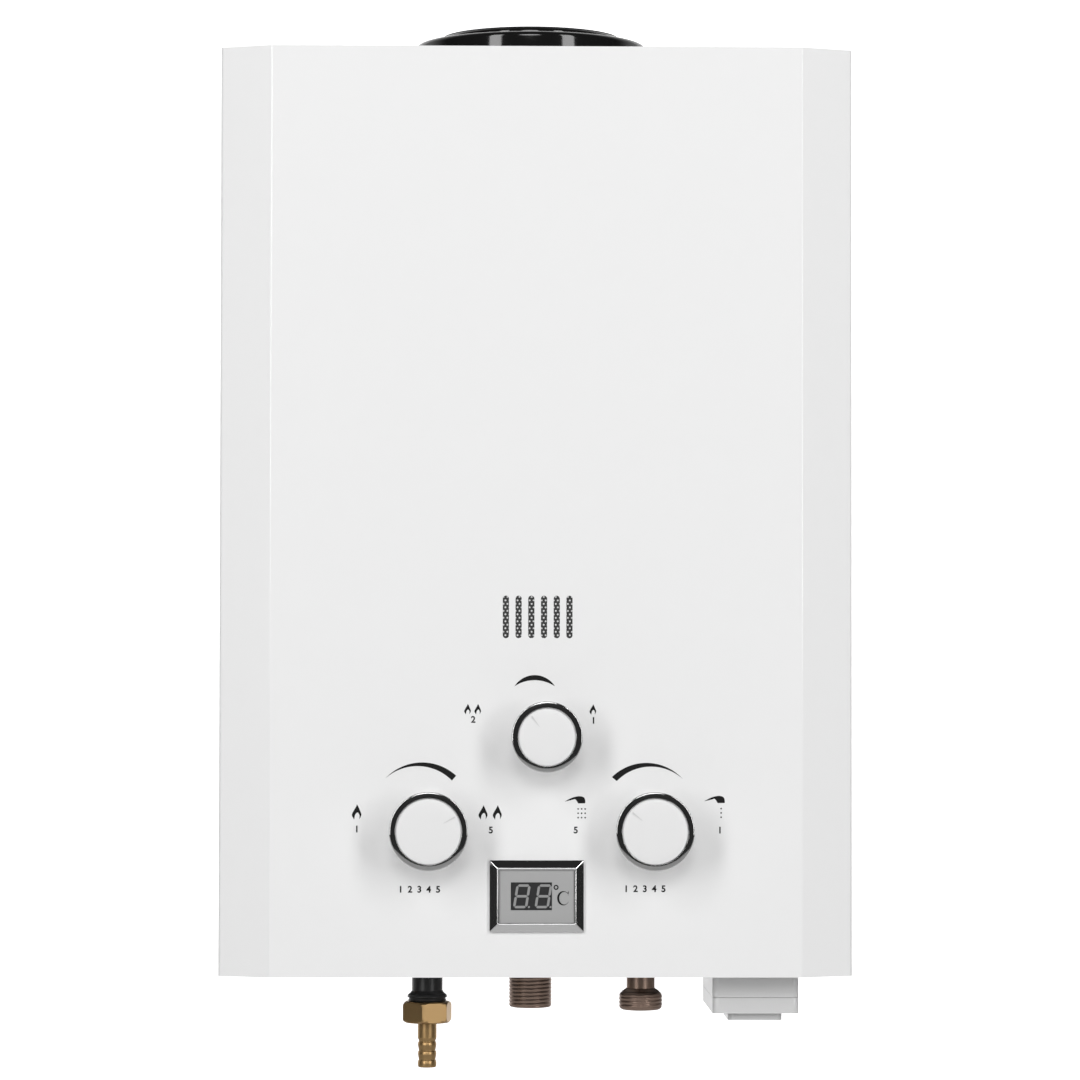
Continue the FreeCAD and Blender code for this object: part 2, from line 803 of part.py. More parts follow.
def chamber_shell():
    """A copper sleeve round the flames, with a peep opening and two electrode holes in its front."""
    body = new_body("chamber_shell")
    plan = sketch_on(body, "XY_Plane", "chamber_low")
    rectangle(plan, ("-(chamber_half)", "chamber_half"), ("chamber_front", "chamber_rear"))
    block = pad(body, plan, "fin_low - (chamber_low)")
    hollow(body, block, "chamber_gauge", lambda face: face.BoundBox.ZLength < 1e-6)
    peep = sketch_on(body, "XZ_Plane", "-(chamber_front)")
    rectangle(
        peep, ("-peep_half", "peep_half"),
        ("slot_height - slot_length/2", "slot_height + slot_length/2"),
    )
    for side in ("-electrode_side", "electrode_side"):
        hole_half = "ceramic_flats/2 + slip_gap"
        rectangle(peep, around(side, hole_half), around("electrode_level", hole_half))
    pocket(body, peep, "chamber_gauge*2")
    return piece("chamber_shell", body)


def return_bends():
    """Copper bends that join the tubes end to end, one at each end of the fins."""
    bends = []
    for sign, row in (("-", "0"), ("", "1")):
        start, end = f"tube_y - tube_pitch*{row}", f"tube_y - tube_pitch*{row} - tube_pitch"
        near, far = f"{sign}(chamber_half)", f"{sign}(chamber_half + tube_pitch/2)"
        points = [
            (near, start, "tube_level"), (far, start, "tube_level"), (far, end, "tube_level"),
            (near, end, "tube_level"),
        ]
        bends.append(pipe("return_bend", points, "tube_radius - fit_gap", "bend_setback"))
    return piece("return_bends", group("return_bends", *bends))


def coil_pipe():
    """The cold feed: up from the water valve, once round the chamber and into the rear tube."""
    low, rise = "coil_low", "coil_pitch"
    points = [
        ("water_block_right", "-valve_setback", "knob_height"),
        ("pipe_side", "-valve_setback", "knob_height"),
        ("pipe_side", "-valve_setback", low),
        ("pipe_side", "coil_front", low),
        ("-(coil_side)", "coil_front", f"{low} + {rise}*0.4"),
        ("-(coil_side)", "coil_rear", f"{low} + {rise}*0.6"),
        ("pipe_side", "coil_rear", f"{low} + {rise}"),
        ("pipe_side", "tube_y", f"{low} + {rise}"),
        ("pipe_side", "tube_y", "tube_level"),
        ("chamber_half", "tube_y", "tube_level"),
    ]
    return piece("coil_pipe", pipe("coil_pipe", points, "tube_radius", "bend_setback"))


def hot_pipe():
    """The hot draw-off: out of the front tube, down the left side and along to the outlet."""
    front_tube = "tube_y - tube_pitch*2"
    points = [
        ("-(chamber_half)", front_tube, "tube_level"),
        ("-(pipe_side)", front_tube, "tube_level"),
        ("-(pipe_side)", front_tube, "hot_run_height"),
        ("-(pipe_side)", "tube_y", "hot_run_height"),
        ("-hot_side", "tube_y", "hot_run_height"),
        ("-hot_side", "tube_y", "plate_top"),
    ]
    return piece("hot_pipe", pipe("hot_pipe", points, "tube_radius", "bend_setback"))


def exchanger_brackets():
    """Two angle brackets that hold the fins to the back plate."""
    high = "fin_top - bracket_drop"
    level = (f"{high} - bracket_width", high)
    brackets = []
    for sign in ("-", ""):
        def across(a, b):
            return (f"-({b})", f"-({a})") if sign else (a, b)
        side = across("chamber_half", "chamber_half + bracket_gauge")
        web = box("web", side, ("-bracket_reach", "plate_face"), level)
        foot = box(
            "foot", across("chamber_half + bracket_gauge", "chamber_half + bracket_width"),
            ("plate_face - bracket_gauge", "plate_face"), level,
        )
        brackets.append(fuse("bracket", web, foot))
    return piece("exchanger_brackets", group("exchanger_brackets", *brackets))


def overheat_switch():
    """The thermal switch on the chamber's side."""
    centre, face = ("flue_y", "fin_low - thermal_drop"), "chamber_half"
    can = flat_bar("overheat_switch", 8, "X", centre, (face, f"{face} + thermal_depth"), "thermal_flats")
    return piece("overheat_switch", can)


def finger_rows():
    """The middle of each burner bar, from left to right."""
    return [f"finger_pitch*({i} - (finger_count - 1)/2)" for i in range(int(number("finger_count")))]


def burner_fingers():
    """Pressed burner bars: a mixing tube below, a riser at the back and a slotted deck on top."""
    fingers = []
    for middle in finger_rows():
        x = (f"{middle} - finger_width/2", f"{middle} + finger_width/2")
        rear = "chamber_rear - venturi_rear + riser_length/2"
        tube = box("tube", x, ("venturi_mouth", rear), ("finger_low", "finger_low + venturi_height"))
        riser = box("riser", x, (f"{rear} - riser_length", rear), ("finger_low", "deck_low + 1"))
        deck = box("deck", x, ("deck_front", "deck_rear"), ("deck_low", "deck_high"))
        mouth = box(
            "mouth", around(middle, "finger_width/2 - venturi_wall"),
            ("venturi_mouth", "venturi_mouth + venturi_depth"),
            ("finger_low + venturi_wall", "finger_low + venturi_height - venturi_wall"),
        )
        ports = box(
            "ports", around(middle, "port_width/2"),
            ("deck_front + port_width", "deck_rear - port_width"), ("deck_high - port_depth", "deck_high"),
        )
        fingers.append(cut("finger", fuse("finger_blank", tube, riser, deck), mouth, ports))
    return piece("burner_fingers", group("burner_fingers", *fingers))


def burner_frame():
    """Two rails under the burner bars, two cheeks that carry the chamber, and tabs to the wall."""
    parts = []
    for start in ("rail_front", "rail_rear"):
        y = (f"-case_depth + {start}", f"-case_depth + {start} + rail_width")
        parts.append(box("rail", ("-(chamber_half)", "chamber_half"), y, ("rail_low", "finger_low")))
    y = ("manifold_back", "-case_depth + rail_rear + rail_width")
    left, right = "-(chamber_half)", "chamber_half"
    for x in ((left, f"{left} + cheek_gauge"), (f"{right} - cheek_gauge", right)):
        parts.append(box("cheek", x, y, ("rail_low", "chamber_low")))
    to_wall, level = ("-case_depth + rail_rear", "plate_face"), ("rail_low", "rail_low + cheek_gauge")
    for x in (("-tab_side - tab_width", "-tab_side"), ("tab_side", "tab_side + tab_width")):
        parts.append(box("tab", x, to_wall, level))
    return piece("burner_frame", fuse("burner_frame", *parts))


def gas_manifold():
    """The jet bar across the burner, fed from the gas valve, with the row selector cock on it."""
    bar = box(
        "bar", ("-(chamber_half)", "chamber_half"), ("manifold_face", "manifold_back"),
        ("manifold_low", "manifold_low + manifold_height"),
    )
    cock_centre, nose = ("season_knob_side", "season_knob_height"), "manifold_face - boss_depth"
    cock = flat_bar("cock", 6, "Y", cock_centre, (nose, "manifold_back"), "gland_flats")
    riser = flat_bar(
        "riser", 8, "Z", ("-riser_side", "-case_depth + riser_gap"), ("valve_high", "manifold_low + 1"),
        "riser_flats",
    )
    seat = flat_bar("seat", 8, "Y", cock_centre, (nose, f"{nose} + spindle_seat"), "spindle_room")
    return piece("gas_manifold", cut("gas_manifold", fuse("manifold_blank", bar, cock, riser), seat))


def gas_jets():
    """The eight hexagonal jets, one at the mouth of each burner bar."""
    span = ("manifold_back", "manifold_back + jet_length")
    jets = [
        flat_bar("jet", 6, "Y", (middle, "venturi_level"), span, "jet_flats") for middle in finger_rows()
    ]
    return piece("gas_jets", group("gas_jets", *jets))


def electrodes():
    """The spark and flame-sensing electrodes: a ceramic through the peep opening and a wire."""
    pair = []
    for side in ("-electrode_side", "electrode_side"):
        head, centre = "-case_depth + ceramic_front", (side, "electrode_level")
        tail = f"{head} + ceramic_length"
        ceramic = flat_bar("ceramic", 8, "Y", centre, (head, tail), "ceramic_flats")
        wire = box(
            "wire", around(side, "wire_gauge/2"), (tail, f"{tail} + wire_length"),
            around("electrode_level", "wire_gauge/2"),
        )
        pair.append(fuse("electrode", ceramic, wire))
    return piece("electrodes", group("electrodes", *pair))


def ignition_module():
    block = box(
        "ignition_module", ("module_left", "module_right"),
        ("plate_face - module_depth", "plate_face"), ("module_low", "module_high"),
    )
    return piece("ignition_module", block)


def ignition_lead():
    """The high-tension lead from the spark electrode round to the top of the ignition module."""
    row = "-case_depth + lead_front"
    points = [
        ("electrode_side", "-case_depth + ceramic_front", "electrode_level"),
        ("electrode_side", row, "electrode_level"),
        ("module_middle", row, "electrode_level"),
        ("module_middle", "-lead_setback", "electrode_level"),
        ("module_middle", "-lead_setback", "module_high"),
    ]
    return piece("ignition_lead", pipe("ignition_lead", points, "lead_radius", "lead_bend"))


def fitting_plate():
    """The folded steel shelf that carries both valves and the three pipe ends."""
    shelf = box(
        "shelf", ("-fitting_plate_side", "fitting_plate_side"),
        ("-case_depth + fitting_plate_gap", "plate_face"), ("fitting_plate_height", "plate_top"),
    )
    upstand = box(
        "upstand", ("-fitting_plate_side", "fitting_plate_side"),
        ("plate_face - fitting_plate_gauge", "plate_face"),
        ("plate_top", "plate_top + fitting_plate_upstand"),
    )
    through = ("fitting_plate_height - 1", "plate_top + 1")
    holes = (
        flat_bar("gas_way", 8, "Z", ("-gas_inlet_side", "-valve_setback"), through, "gas_bore*2"),
        flat_bar("hot_way", 8, "Z", ("-hot_side", "tube_y"), through, "water_bore*2"),
        flat_bar("cold_way", 8, "Z", ("cold_side", "-valve_setback"), through, "(cold_neck - cold_wall)*2"),
    )
    return piece("fitting_plate", cut("fitting_plate", fuse("shelf_blank", shelf, upstand), *holes))


def gas_valve_body():
    """A die-cast block: inlet neck below, spindle gland in front, valve chamber across it."""
    block = box(
        "block", ("-gas_block_left", "-gas_block_right"), ("gas_front", "gas_rear"),
        ("valve_low", "valve_high"),
    )
    feed = ("-gas_inlet_side", "-valve_setback")
    neck = flat_bar("neck", 6, "Z", feed, ("plate_top", "valve_low + 1"), "neck_flats")
    knob_axis = ("-gas_knob_side", "knob_height")
    gland = flat_bar("gland", 6, "Y", knob_axis, ("valve_nose", "gas_front + 1"), "gland_flats")
    seat_span = ("valve_nose", "valve_nose + spindle_seat")
    seat = flat_bar("seat", 8, "Y", knob_axis, seat_span, "spindle_room")
    axis = ("-valve_setback", "knob_height")
    chamber_span = ("-gas_block_left", "-plug_chamber_end")
    chamber = flat_bar("chamber", 8, "X", axis, chamber_span, "plug_chamber_flats")
    way_span = ("-plug_chamber_end - 1", "-gas_block_right")
    way = flat_bar("way", 8, "X", axis, way_span, "rod_flats + slip_gap*4")
    blank = fuse("gas_blank", block, neck, gland)
    return piece("gas_valve_body", cut("gas_valve_body", blank, seat, chamber, way))


def gas_valve_cap():
    """The hexagonal plug that closes the valve chamber."""
    span = ("-gas_block_left - valve_cap_gauge", "-gas_block_left")
    cap = flat_bar("gas_valve_cap", 6, "X", ("-valve_setback", "knob_height"), span, "valve_cap_flats")
    return piece("gas_valve_cap", cap)


def safety_solenoid():
    """The can of the valve that shuts the gas off when the flame fails."""
    centre = ("-gas_inlet_side", "knob_height + solenoid_lift")
    span = ("gas_rear", "gas_rear + solenoid_length")
    return piece("safety_solenoid", flat_bar("safety_solenoid", 8, "Y", centre, span, "solenoid_flats"))


def gas_inlet_stub():
    """The black inlet pipe, with a wider collar at its lower end that the nut closes against."""
    top = "-gas_ridge_low + gas_ridge_height"
    body = turned("gas_inlet_stub", [
        ("gas_bore", "-gas_ridge_low"), ("gas_ridge_radius", "-gas_ridge_low"), ("gas_ridge_radius", top),
        ("gas_stub_radius", top), ("gas_stub_radius", "fitting_plate_height"),
        ("gas_bore", "fitting_plate_height"),
    ], "-gas_inlet_side", "-valve_setback", 0)
    return piece("gas_inlet_stub", body)


def union_nut():
    """The brass nut that holds the hose tail against the inlet pipe."""
    centre, span = ("-gas_inlet_side", "-valve_setback"), ("-nut_low", "-gas_ridge_low")
    hexagon = flat_bar("nut_blank", 6, "Z", centre, span, "nut_flats")
    way = rod("nut_way", "Z", centre, span, "barb_radius + slip_gap")
    return piece("union_nut", cut("union_nut", hexagon, way))


def hose_barb():
    """The brass hose tail: a plain shank through the nut, and three barbs below."""
    profile = [("barb_bore", "-barb_end")]
    for i in range(3):
        foot = f"-barb_end + barb_pitch*{i}"
        profile += [
            ("barb_radius", foot), ("barb_radius", f"{foot} + barb_land"),
            ("barb_tip", f"{foot} + barb_land"), ("barb_tip", f"{foot} + barb_pitch"),
        ]
    profile += [
        ("barb_radius", "-barb_end + barb_pitch*3"), ("barb_radius", "-gas_ridge_low"),
        ("barb_bore", "-gas_ridge_low"),
    ]
    return piece("hose_barb", turned("hose_barb", profile, "-gas_inlet_side", "-valve_setback", 0))


def hot_outlet():
    """The hot pipe end: a G1/2 thread under the casing and a spanner hexagon under the shelf."""
    centre, low = ("-hot_side", "tube_y"), "-hot_end"
    hexagon_low = "fitting_plate_height - spanner_height"
    thread = rod("hot_thread", "Z", centre, (low, hexagon_low), "water_thread_radius")
    hexagon = flat_bar("hot_hexagon", 6, "Z", centre, (hexagon_low, "fitting_plate_height"), "spanner_flats")
    way = rod("hot_bore", "Z", centre, (low, "fitting_plate_height"), "water_bore")
    return piece("hot_outlet", cut("hot_outlet", fuse("hot_blank", thread, hexagon), way))


def cold_inlet():
    """The cold pipe end: a short G1/2 thread, a narrow neck and a spanner hexagon under the shelf."""
    centre, low = ("cold_side", "-valve_setback"), "-cold_end"
    hexagon_low = "fitting_plate_height - spanner_height"
    thread = rod("cold_thread", "Z", centre, (low, "-cold_shoulder"), "water_thread_radius")
    neck = rod("cold_neck_rod", "Z", centre, ("-cold_shoulder", hexagon_low), "cold_neck")
    hexagon = flat_bar("cold_hexagon", 6, "Z", centre, (hexagon_low, "fitting_plate_height"), "spanner_flats")
    way = rod("cold_bore", "Z", centre, (low, "fitting_plate_height"), "cold_neck - cold_wall")
    return piece("cold_inlet", cut("cold_inlet", fuse("cold_blank", thread, neck, hexagon), way))


def pipe_nuts():
    """The nuts that hold the copper pipes on the outlet and on the water valve."""
    nuts = []
    for name, axis, centre, span in (
        ("hot_nut", "Z", ("-hot_side", "tube_y"), ("plate_top", "plate_top + pipe_nut_length")),
        ("feed_nut", "X", ("-valve_setback", "knob_height"),
         ("water_block_right", "water_block_right + pipe_nut_length")),
    ):
        hexagon = flat_bar(name, 6, axis, centre, span, "pipe_nut_flats")
        way = flat_bar(name + "_way", 8, axis, centre, span, "tube_radius*2 + slip_gap*4")
        nuts.append(cut(name + "_bored", hexagon, way))
    return piece("pipe_nuts", group("pipe_nuts", *nuts))


def water_valve_body():
    """The water section: inlet neck below, flow gland in front, eight-sided diaphragm dish at its left."""
    axis = ("-valve_setback", "knob_height")
    block = box(
        "block", ("water_block_left", "water_block_right"), ("water_front", "water_rear"),
        ("valve_low", "valve_high"),
    )
    dish = flat_bar("dish", 8, "X", axis, ("dish_face", "water_block_left"), "dish_flats")
    feed = ("cold_side", "-valve_setback")
    neck = flat_bar("neck", 6, "Z", feed, ("plate_top", "valve_low + 1"), "neck_flats")
    knob_axis = ("water_knob_side", "knob_height")
    gland = flat_bar("gland", 6, "Y", knob_axis, ("valve_nose", "water_front + 1"), "gland_flats")
    seat_span = ("valve_nose", "valve_nose + spindle_seat")
    seat = flat_bar("seat", 8, "Y", knob_axis, seat_span, "spindle_room")
    blank = fuse("water_blank", block, dish, neck, gland)
    return piece("water_valve_body", cut("water_valve_body", blank, seat))


def diaphragm():
    axis = ("-valve_setback", "knob_height")
    return piece("diaphragm", flat_bar("diaphragm", 8, "X", axis, ("cover_face", "dish_face"), "dish_flats"))


def diaphragm_cover():
    """The dish on the dry side of the diaphragm, with the push rod's way through its middle."""
    axis, start = ("-valve_setback", "knob_height"), "cover_face - dish_cover_depth"
    outside = flat_bar("cover_outside", 8, "X", axis, (start, "cover_face"), "dish_flats")
    inside = flat_bar(
        "cover_inside", 8, "X", axis, (f"{start} + dish_wall", "cover_face"), "dish_flats - dish_rim*2"
    )
    way = flat_bar("cover_way", 8, "X", axis, (start, "cover_face"), "rod_flats + slip_gap*4")
    return piece("diaphragm_cover", cut("diaphragm_cover", outside, inside, way))


def push_rod():
    """The rod that carries the diaphragm's travel to the gas valve and to the switch lever."""
    axis = ("-valve_setback", "knob_height")
    disc_face = "cover_face - rod_disc_gauge"
    stem = flat_bar("stem", 8, "X", axis, ("-plug_chamber_end - slip_gap*2", disc_face), "rod_flats")
    disc_span = (f"{disc_face} - slip_gap", "cover_face - slip_gap")
    disc = flat_bar("disc", 8, "X", axis, disc_span, "rod_disc_flats")
    collar_span = ("-rod_collar_place", "-rod_collar_place + rod_collar_gauge")
    collar = flat_bar("collar", 8, "X", axis, collar_span, "rod_collar_flats")
    return piece("push_rod", fuse("push_rod", stem, disc, collar))


def gas_valve_plug():
    axis = ("-valve_setback", "knob_height")
    right = "-plug_chamber_end - slip_gap*2"
    disc = flat_bar("gas_valve_plug", 8, "X", axis, (f"{right} - plug_thickness", right), "plug_flats")
    return piece("gas_valve_plug", disc)


def gas_valve_spring():
    """The spring that closes the gas plug, as a plain bar of its outer size."""
    axis = ("-valve_setback", "knob_height")
    span = ("-gas_block_left", "-plug_chamber_end - slip_gap*2 - plug_thickness")
    return piece("gas_valve_spring", flat_bar("gas_valve_spring", 8, "X", axis, span, "spring_flats"))


def microswitch():
    """The ignition switch on the gas valve's side, with two ears and a pin for its lever."""
    reach = "lever_half + ear_gap + ear_gauge"
    case = box(
        "switch_case", ("-gas_block_right", "-switch_right"),
        ("-valve_setback - switch_half", "-valve_setback + switch_half"), ("switch_low", "switch_high"),
    )
    parts = [case]
    for y in (
        (f"-valve_setback - ({reach})", "-valve_setback - lever_half - ear_gap"),
        ("-valve_setback + lever_half + ear_gap", f"-valve_setback + {reach}"),
    ):
        x, z = ("-switch_right - 1", "-lever_place + lever_eye"), ("switch_low", "lever_pivot + lever_eye")
        parts.append(box("ear", x, y, z))
    parts.append(flat_bar(
        "pivot", 8, "Y", ("-lever_place", "lever_pivot"),
        (f"-valve_setback - ({reach})", f"-valve_setback + {reach}"), "pivot_flats",
    ))
    return piece("microswitch", fuse("microswitch", *parts))


def switch_lever():
    """A bent strip on the switch's pin: the eye round the pin and the blade down to the rod's collar."""
    y = around("-valve_setback", "lever_half")
    blade = box("blade", around("-lever_place", "lever_gauge/2"), y, ("lever_tip", "lever_pivot"))
    eye = box(
        "eye", around("-lever_place", "lever_eye"), y, around("lever_pivot", "lever_eye")
    )
    bore = flat_bar("eye_bore", 8, "Y", ("-lever_place", "lever_pivot"), y, "pivot_flats + slip_gap*3")
    return piece("switch_lever", cut("switch_lever", fuse("lever_blank", blade, eye), bore))


def window_mesh():
    """The fine mesh behind the flame window, as a plain sheet of its outline."""
    half = "slot_pitch*(slot_count - 1)/2 + slot_width/2 + mesh_margin"
    mesh = box(
        "window_mesh", (f"slot_shift - ({half})", f"slot_shift + {half}"),
        ("inner_front", "inner_front + mesh_gauge"),
        ("slot_height - slot_length/2 - mesh_margin", "slot_height + slot_length/2 + mesh_margin"),
    )
    return piece("window_mesh", mesh)


def around(centre, half):
    return (f"{centre} - ({half})", f"{centre} + ({half})")


def display_bezel():
    """The chromed frame: mitred slopes outside, a square opening, and a collar through the cover."""
    slope = DOC.addObject("Part::Wedge", "bezel_slope")
    bind(
        slope, Xmin="-bezel_width/2", Xmax="bezel_width/2", Zmin="-bezel_height/2", Zmax="bezel_height/2",
        Ymin=0, Ymax="bezel_rise", X2min="-bezel_width/2 + bezel_slope", X2max="bezel_width/2 - bezel_slope",
        Z2min="-bezel_height/2 + bezel_slope", Z2max="bezel_height/2 - bezel_slope",
    )
    put(slope, "display_shift", "front", "display_height", FreeCAD.Rotation(ACROSS, 180))
    collar = box(
        "bezel_collar", around("display_shift", "window_width/2 + collar_wall"),
        ("front", "board_front"), around("display_height", "window_height/2 + collar_wall"),
    )
    window = box(
        "bezel_window", around("display_shift", "window_width/2"),
        ("front - bezel_rise - 1", "board_front + 1"), around("display_height", "window_height/2"),
    )
    return piece("display_bezel", cut("display_bezel", fuse("bezel_blank", slope, collar), window))


def display_panel():
    """The grey face plate inside the bezel, with the window for the digits."""
    face = "front - bezel_rise + panel_sink"
    plate = box(
        "panel_blank", around("display_shift", "window_width/2 - slip_gap"),
        (face, f"{face} + panel_gauge"), around("display_height", "window_height/2 - slip_gap"),
    )
    window = box(
        "panel_window", around("display_shift - digits_shift", "digits_width/2 + slip_gap"),
        (f"{face} - 1", f"{face} + panel_gauge + 1"), around("display_height", "digits_height/2 + slip_gap"),
    )
    return piece("display_panel", cut("display_panel", plate, window))


def display_digits():
    face = "front - bezel_rise + panel_sink + slip_gap*2"
    block = box(
        "display_digits", around("display_shift - digits_shift", "digits_width/2"),
        (face, "board_front"), around("display_height", "digits_height/2"),
    )
    return piece("display_digits", block)


def display_board():
    board = box(
        "display_board", around("display_shift", "window_width/2 + collar_wall"),
        ("board_front", "board_front + board_gauge"),
        around("display_height", "window_height/2 + collar_wall"),
    )
    return piece("display_board", board)


def knob(prefix, x, z, radius, cap, pointer, tail):
    """A white knob with a chromed ring round its face, pressed on its valve's square spindle."""
    turn = TO_VIEWER.multiply(FreeCAD.Rotation(UP, number(pointer)))
    body = turned(f"{prefix}_knob", [
        ("0", "knob_gap"), (cap, "knob_gap"), (cap, "cap_height"), ("0", "cap_height"),
    ], x, "front", z, turn)
    socket = sketch_on(body, "XY_Plane", "knob_gap")
    half = "spindle_width/2 + slip_gap"
    rectangle(socket, (f"-({half})", half), (f"-({half})", half))
    pocket(body, socket, "spindle_grip", towards_normal=True)
    mark = sketch_on(body, "XY_Plane", "cap_height")
    outer = f"{cap} - pointer_inset"
    rectangle(mark, (f"{outer} - pointer_length", outer), ("-pointer_width/2", "pointer_width/2"))
    pocket(body, mark, "pointer_depth")
    piece(f"{prefix}_knob", body)

    inner = f"{cap} + slip_gap"
    ring = turned(f"{prefix}_knob_ring", [
        (inner, "ring_low"), (radius, "ring_low"), (radius, "ring_height"), (inner, "ring_height"),
    ], x, "front", z, TO_VIEWER)
    piece(f"{prefix}_knob_ring", ring)

    spindle = new_body(f"{prefix}_spindle")
    section = sketch_on(spindle, "XY_Plane", f"front - ({tail})")
    rectangle(section, ("-spindle_width/2", "spindle_width/2"), ("-spindle_width/2", "spindle_width/2"))
    pad(spindle, section, f"({tail}) - front + knob_gap + spindle_grip")
    put(spindle, x, "front", z, turn)
    piece(f"{prefix}_spindle", spindle)


def rounded_block(name, x, y, z, corner):
    """A block with its four upright edges rounded."""
    body = new_body(name)
    plan = sketch_on(body, "XY_Plane", z[0])
    rectangle(plan, x, y)
    block = pad(body, plan, f"({z[1]}) - ({z[0]})")
    round_off(body, block, corner, lambda edge: runs_along(edge, UP))
    return body


def battery_box():
    """The white holder for two D cells, through the cover's floor, with hinge ears at its rear."""
    outer = rounded_block(
        "holder_outside", ("battery_left", "battery_right"), ("battery_near", "battery_far"),
        ("-battery_seam", "battery_top"), "battery_corner",
    )
    flange = box(
        "holder_flange", ("battery_left - battery_flange", "battery_right + battery_flange"),
        ("battery_near - battery_flange", "battery_far + battery_flange"),
        ("sheet_gauge", "sheet_gauge + flange_gauge"),
    )
    inner = box(
        "holder_inside", ("battery_left + battery_wall", "battery_right - battery_wall"),
        ("battery_near + battery_wall", "battery_far - battery_wall"),
        ("-battery_seam", "battery_top - battery_wall"),
    )
    hinge = ("hinge_y", "-battery_seam")
    parts, bores = [outer, flange], [inner]
    for x in (
        ("battery_middle - hinge_half", "battery_middle - knuckle_half - fit_gap"),
        ("battery_middle + knuckle_half + fit_gap", "battery_middle + hinge_half"),
    ):
        y, z = around("hinge_y", "knuckle_size"), around("-battery_seam", "knuckle_size")
        parts.append(box("ear", x, y, z))
        web = ("-battery_seam", "-battery_seam + knuckle_size")
        parts.append(box("ear_web", x, ("battery_far - 1", "hinge_y"), web))
        bores.append(flat_bar("ear_bore", 8, "X", hinge, x, "(hinge_radius + running_gap)*2"))
    return piece("battery_box", cut("battery_box", fuse("holder_blank", *parts), *bores))


def battery_door():
    """The hinged cap under the cells, with a finger grip below its front and a hinge knuckle."""
    top = "-battery_seam - door_gap"
    tray = rounded_block(
        "door_outside", ("battery_left", "battery_right"), ("battery_near", "battery_far"),
        ("-battery_bottom", top), "battery_corner",
    )
    wells = box(
        "door_inside", ("battery_left + battery_wall", "battery_right - battery_wall"),
        ("battery_near + battery_wall", "battery_far - battery_wall"),
        ("-battery_bottom + battery_wall", top),
    )
    grip = rounded_block(
        "door_grip", around("battery_middle", "grip_width/2"),
        ("battery_near + grip_front", "battery_near + grip_front + grip_length"),
        ("-battery_bottom - grip_drop", "-battery_bottom + 1"), "battery_corner",
    )
    hinge = ("hinge_y", "-battery_seam")
    x = around("battery_middle", "knuckle_half")
    knuckle = box("knuckle", x, around("hinge_y", "knuckle_size"), around("-battery_seam", "knuckle_size"))
    web = box("knuckle_web", x, ("battery_far - 1", "hinge_y"), ("-battery_seam - knuckle_size", top))
    bore = flat_bar("knuckle_bore", 8, "X", hinge, x, "(hinge_radius + running_gap)*2")
    door = cut("battery_door", fuse("door_blank", tray, grip, knuckle, web), wells, bore)
    return piece("battery_door", door)


def hinge_pin():
    span = around("battery_middle", "hinge_half")
    return piece("hinge_pin", rod("hinge_pin", "X", ("hinge_y", "-battery_seam"), span, "hinge_radius"))


def cell_places():
    middle = "battery_near + battery_length/2"
    return [f"{middle} - cell_spacing/2", f"{middle} + cell_spacing/2"]


def battery_cells():
    """The two D cells, standing side by side on the bridge strip."""
    cells = []
    for y in cell_places():
        span = ("-cell_foot", "-cell_foot + cell_length")
        cells.append(rod("cell", "Z", ("battery_middle", y), span, "cell_radius"))
    return piece("battery_cells", group("battery_cells", *cells))


def battery_contacts():
    """Sprung strips under the holder's roof, one on the top of each cell."""
    top = "-cell_foot + cell_length"
    strips = []
    gauge = (top, f"{top} + contact_gauge")
    for y in cell_places():
        leaf = box("leaf", around("battery_middle", "contact_half"), around(y, "contact_half"), gauge)
        post = box(
            "post", around("battery_middle", "contact_half/2"), around(y, "contact_half/2"),
            (f"{top} + contact_gauge", "battery_top - battery_wall"),
        )
        strips.append(fuse("contact", leaf, post))
    return piece("battery_contacts", group("battery_contacts", *strips))


def door_contact():
    """The bridge strip in the door that joins the two cells, on its own folded feet."""
    ends = cell_places()
    strip = box(
        "bridge", around("battery_middle", "contact_half"), (ends[0], ends[1]),
        ("-cell_foot - contact_gauge", "-cell_foot"),
    )
    post = box(
        "bridge_foot", around("battery_middle", "contact_half/2"), (f"{ends[0]} + 4", f"{ends[1]} - 4"),
        ("-battery_bottom + battery_wall", "-cell_foot - contact_gauge"),
    )
    return piece("door_contact", fuse("door_contact", strip, post))


def build():
    front_cover()
    back_plate()
    flue_collar()
    draft_hood()
    fin_block()
    chamber_shell()
    return_bends()
    coil_pipe()
    hot_pipe()
    exchanger_brackets()
    overheat_switch()
    burner_fingers()
    burner_frame()
    gas_manifold()
    gas_jets()
    electrodes()
    ignition_module()
    ignition_lead()
    fitting_plate()
    gas_valve_body()
    gas_valve_cap()
    safety_solenoid()
    gas_inlet_stub()
    union_nut()
    hose_barb()
    hot_outlet()
    cold_inlet()
    pipe_nuts()
    water_valve_body()
    diaphragm()
    diaphragm_cover()
    push_rod()
    gas_valve_plug()
    gas_valve_spring()
    microswitch()
    switch_lever()
    window_mesh()
    display_bezel()
    display_panel()
    display_digits()
    display_board()
    valve_tail = "valve_nose + spindle_seat - fit_gap"
    knob("gas", "-gas_knob_side", "knob_height", "knob_radius", "cap_radius", "gas_pointer", valve_tail)
    knob("water", "water_knob_side", "knob_height", "knob_radius", "cap_radius", "water_pointer", valve_tail)
    knob(
        "season", "season_knob_side", "season_knob_height", "small_knob_radius", "small_cap_radius",
        "season_pointer", "manifold_face - boss_depth + spindle_seat - fit_gap",
    )
    battery_box()
    battery_door()
    hinge_pin()
    battery_cells()
    battery_contacts()
    door_contact()


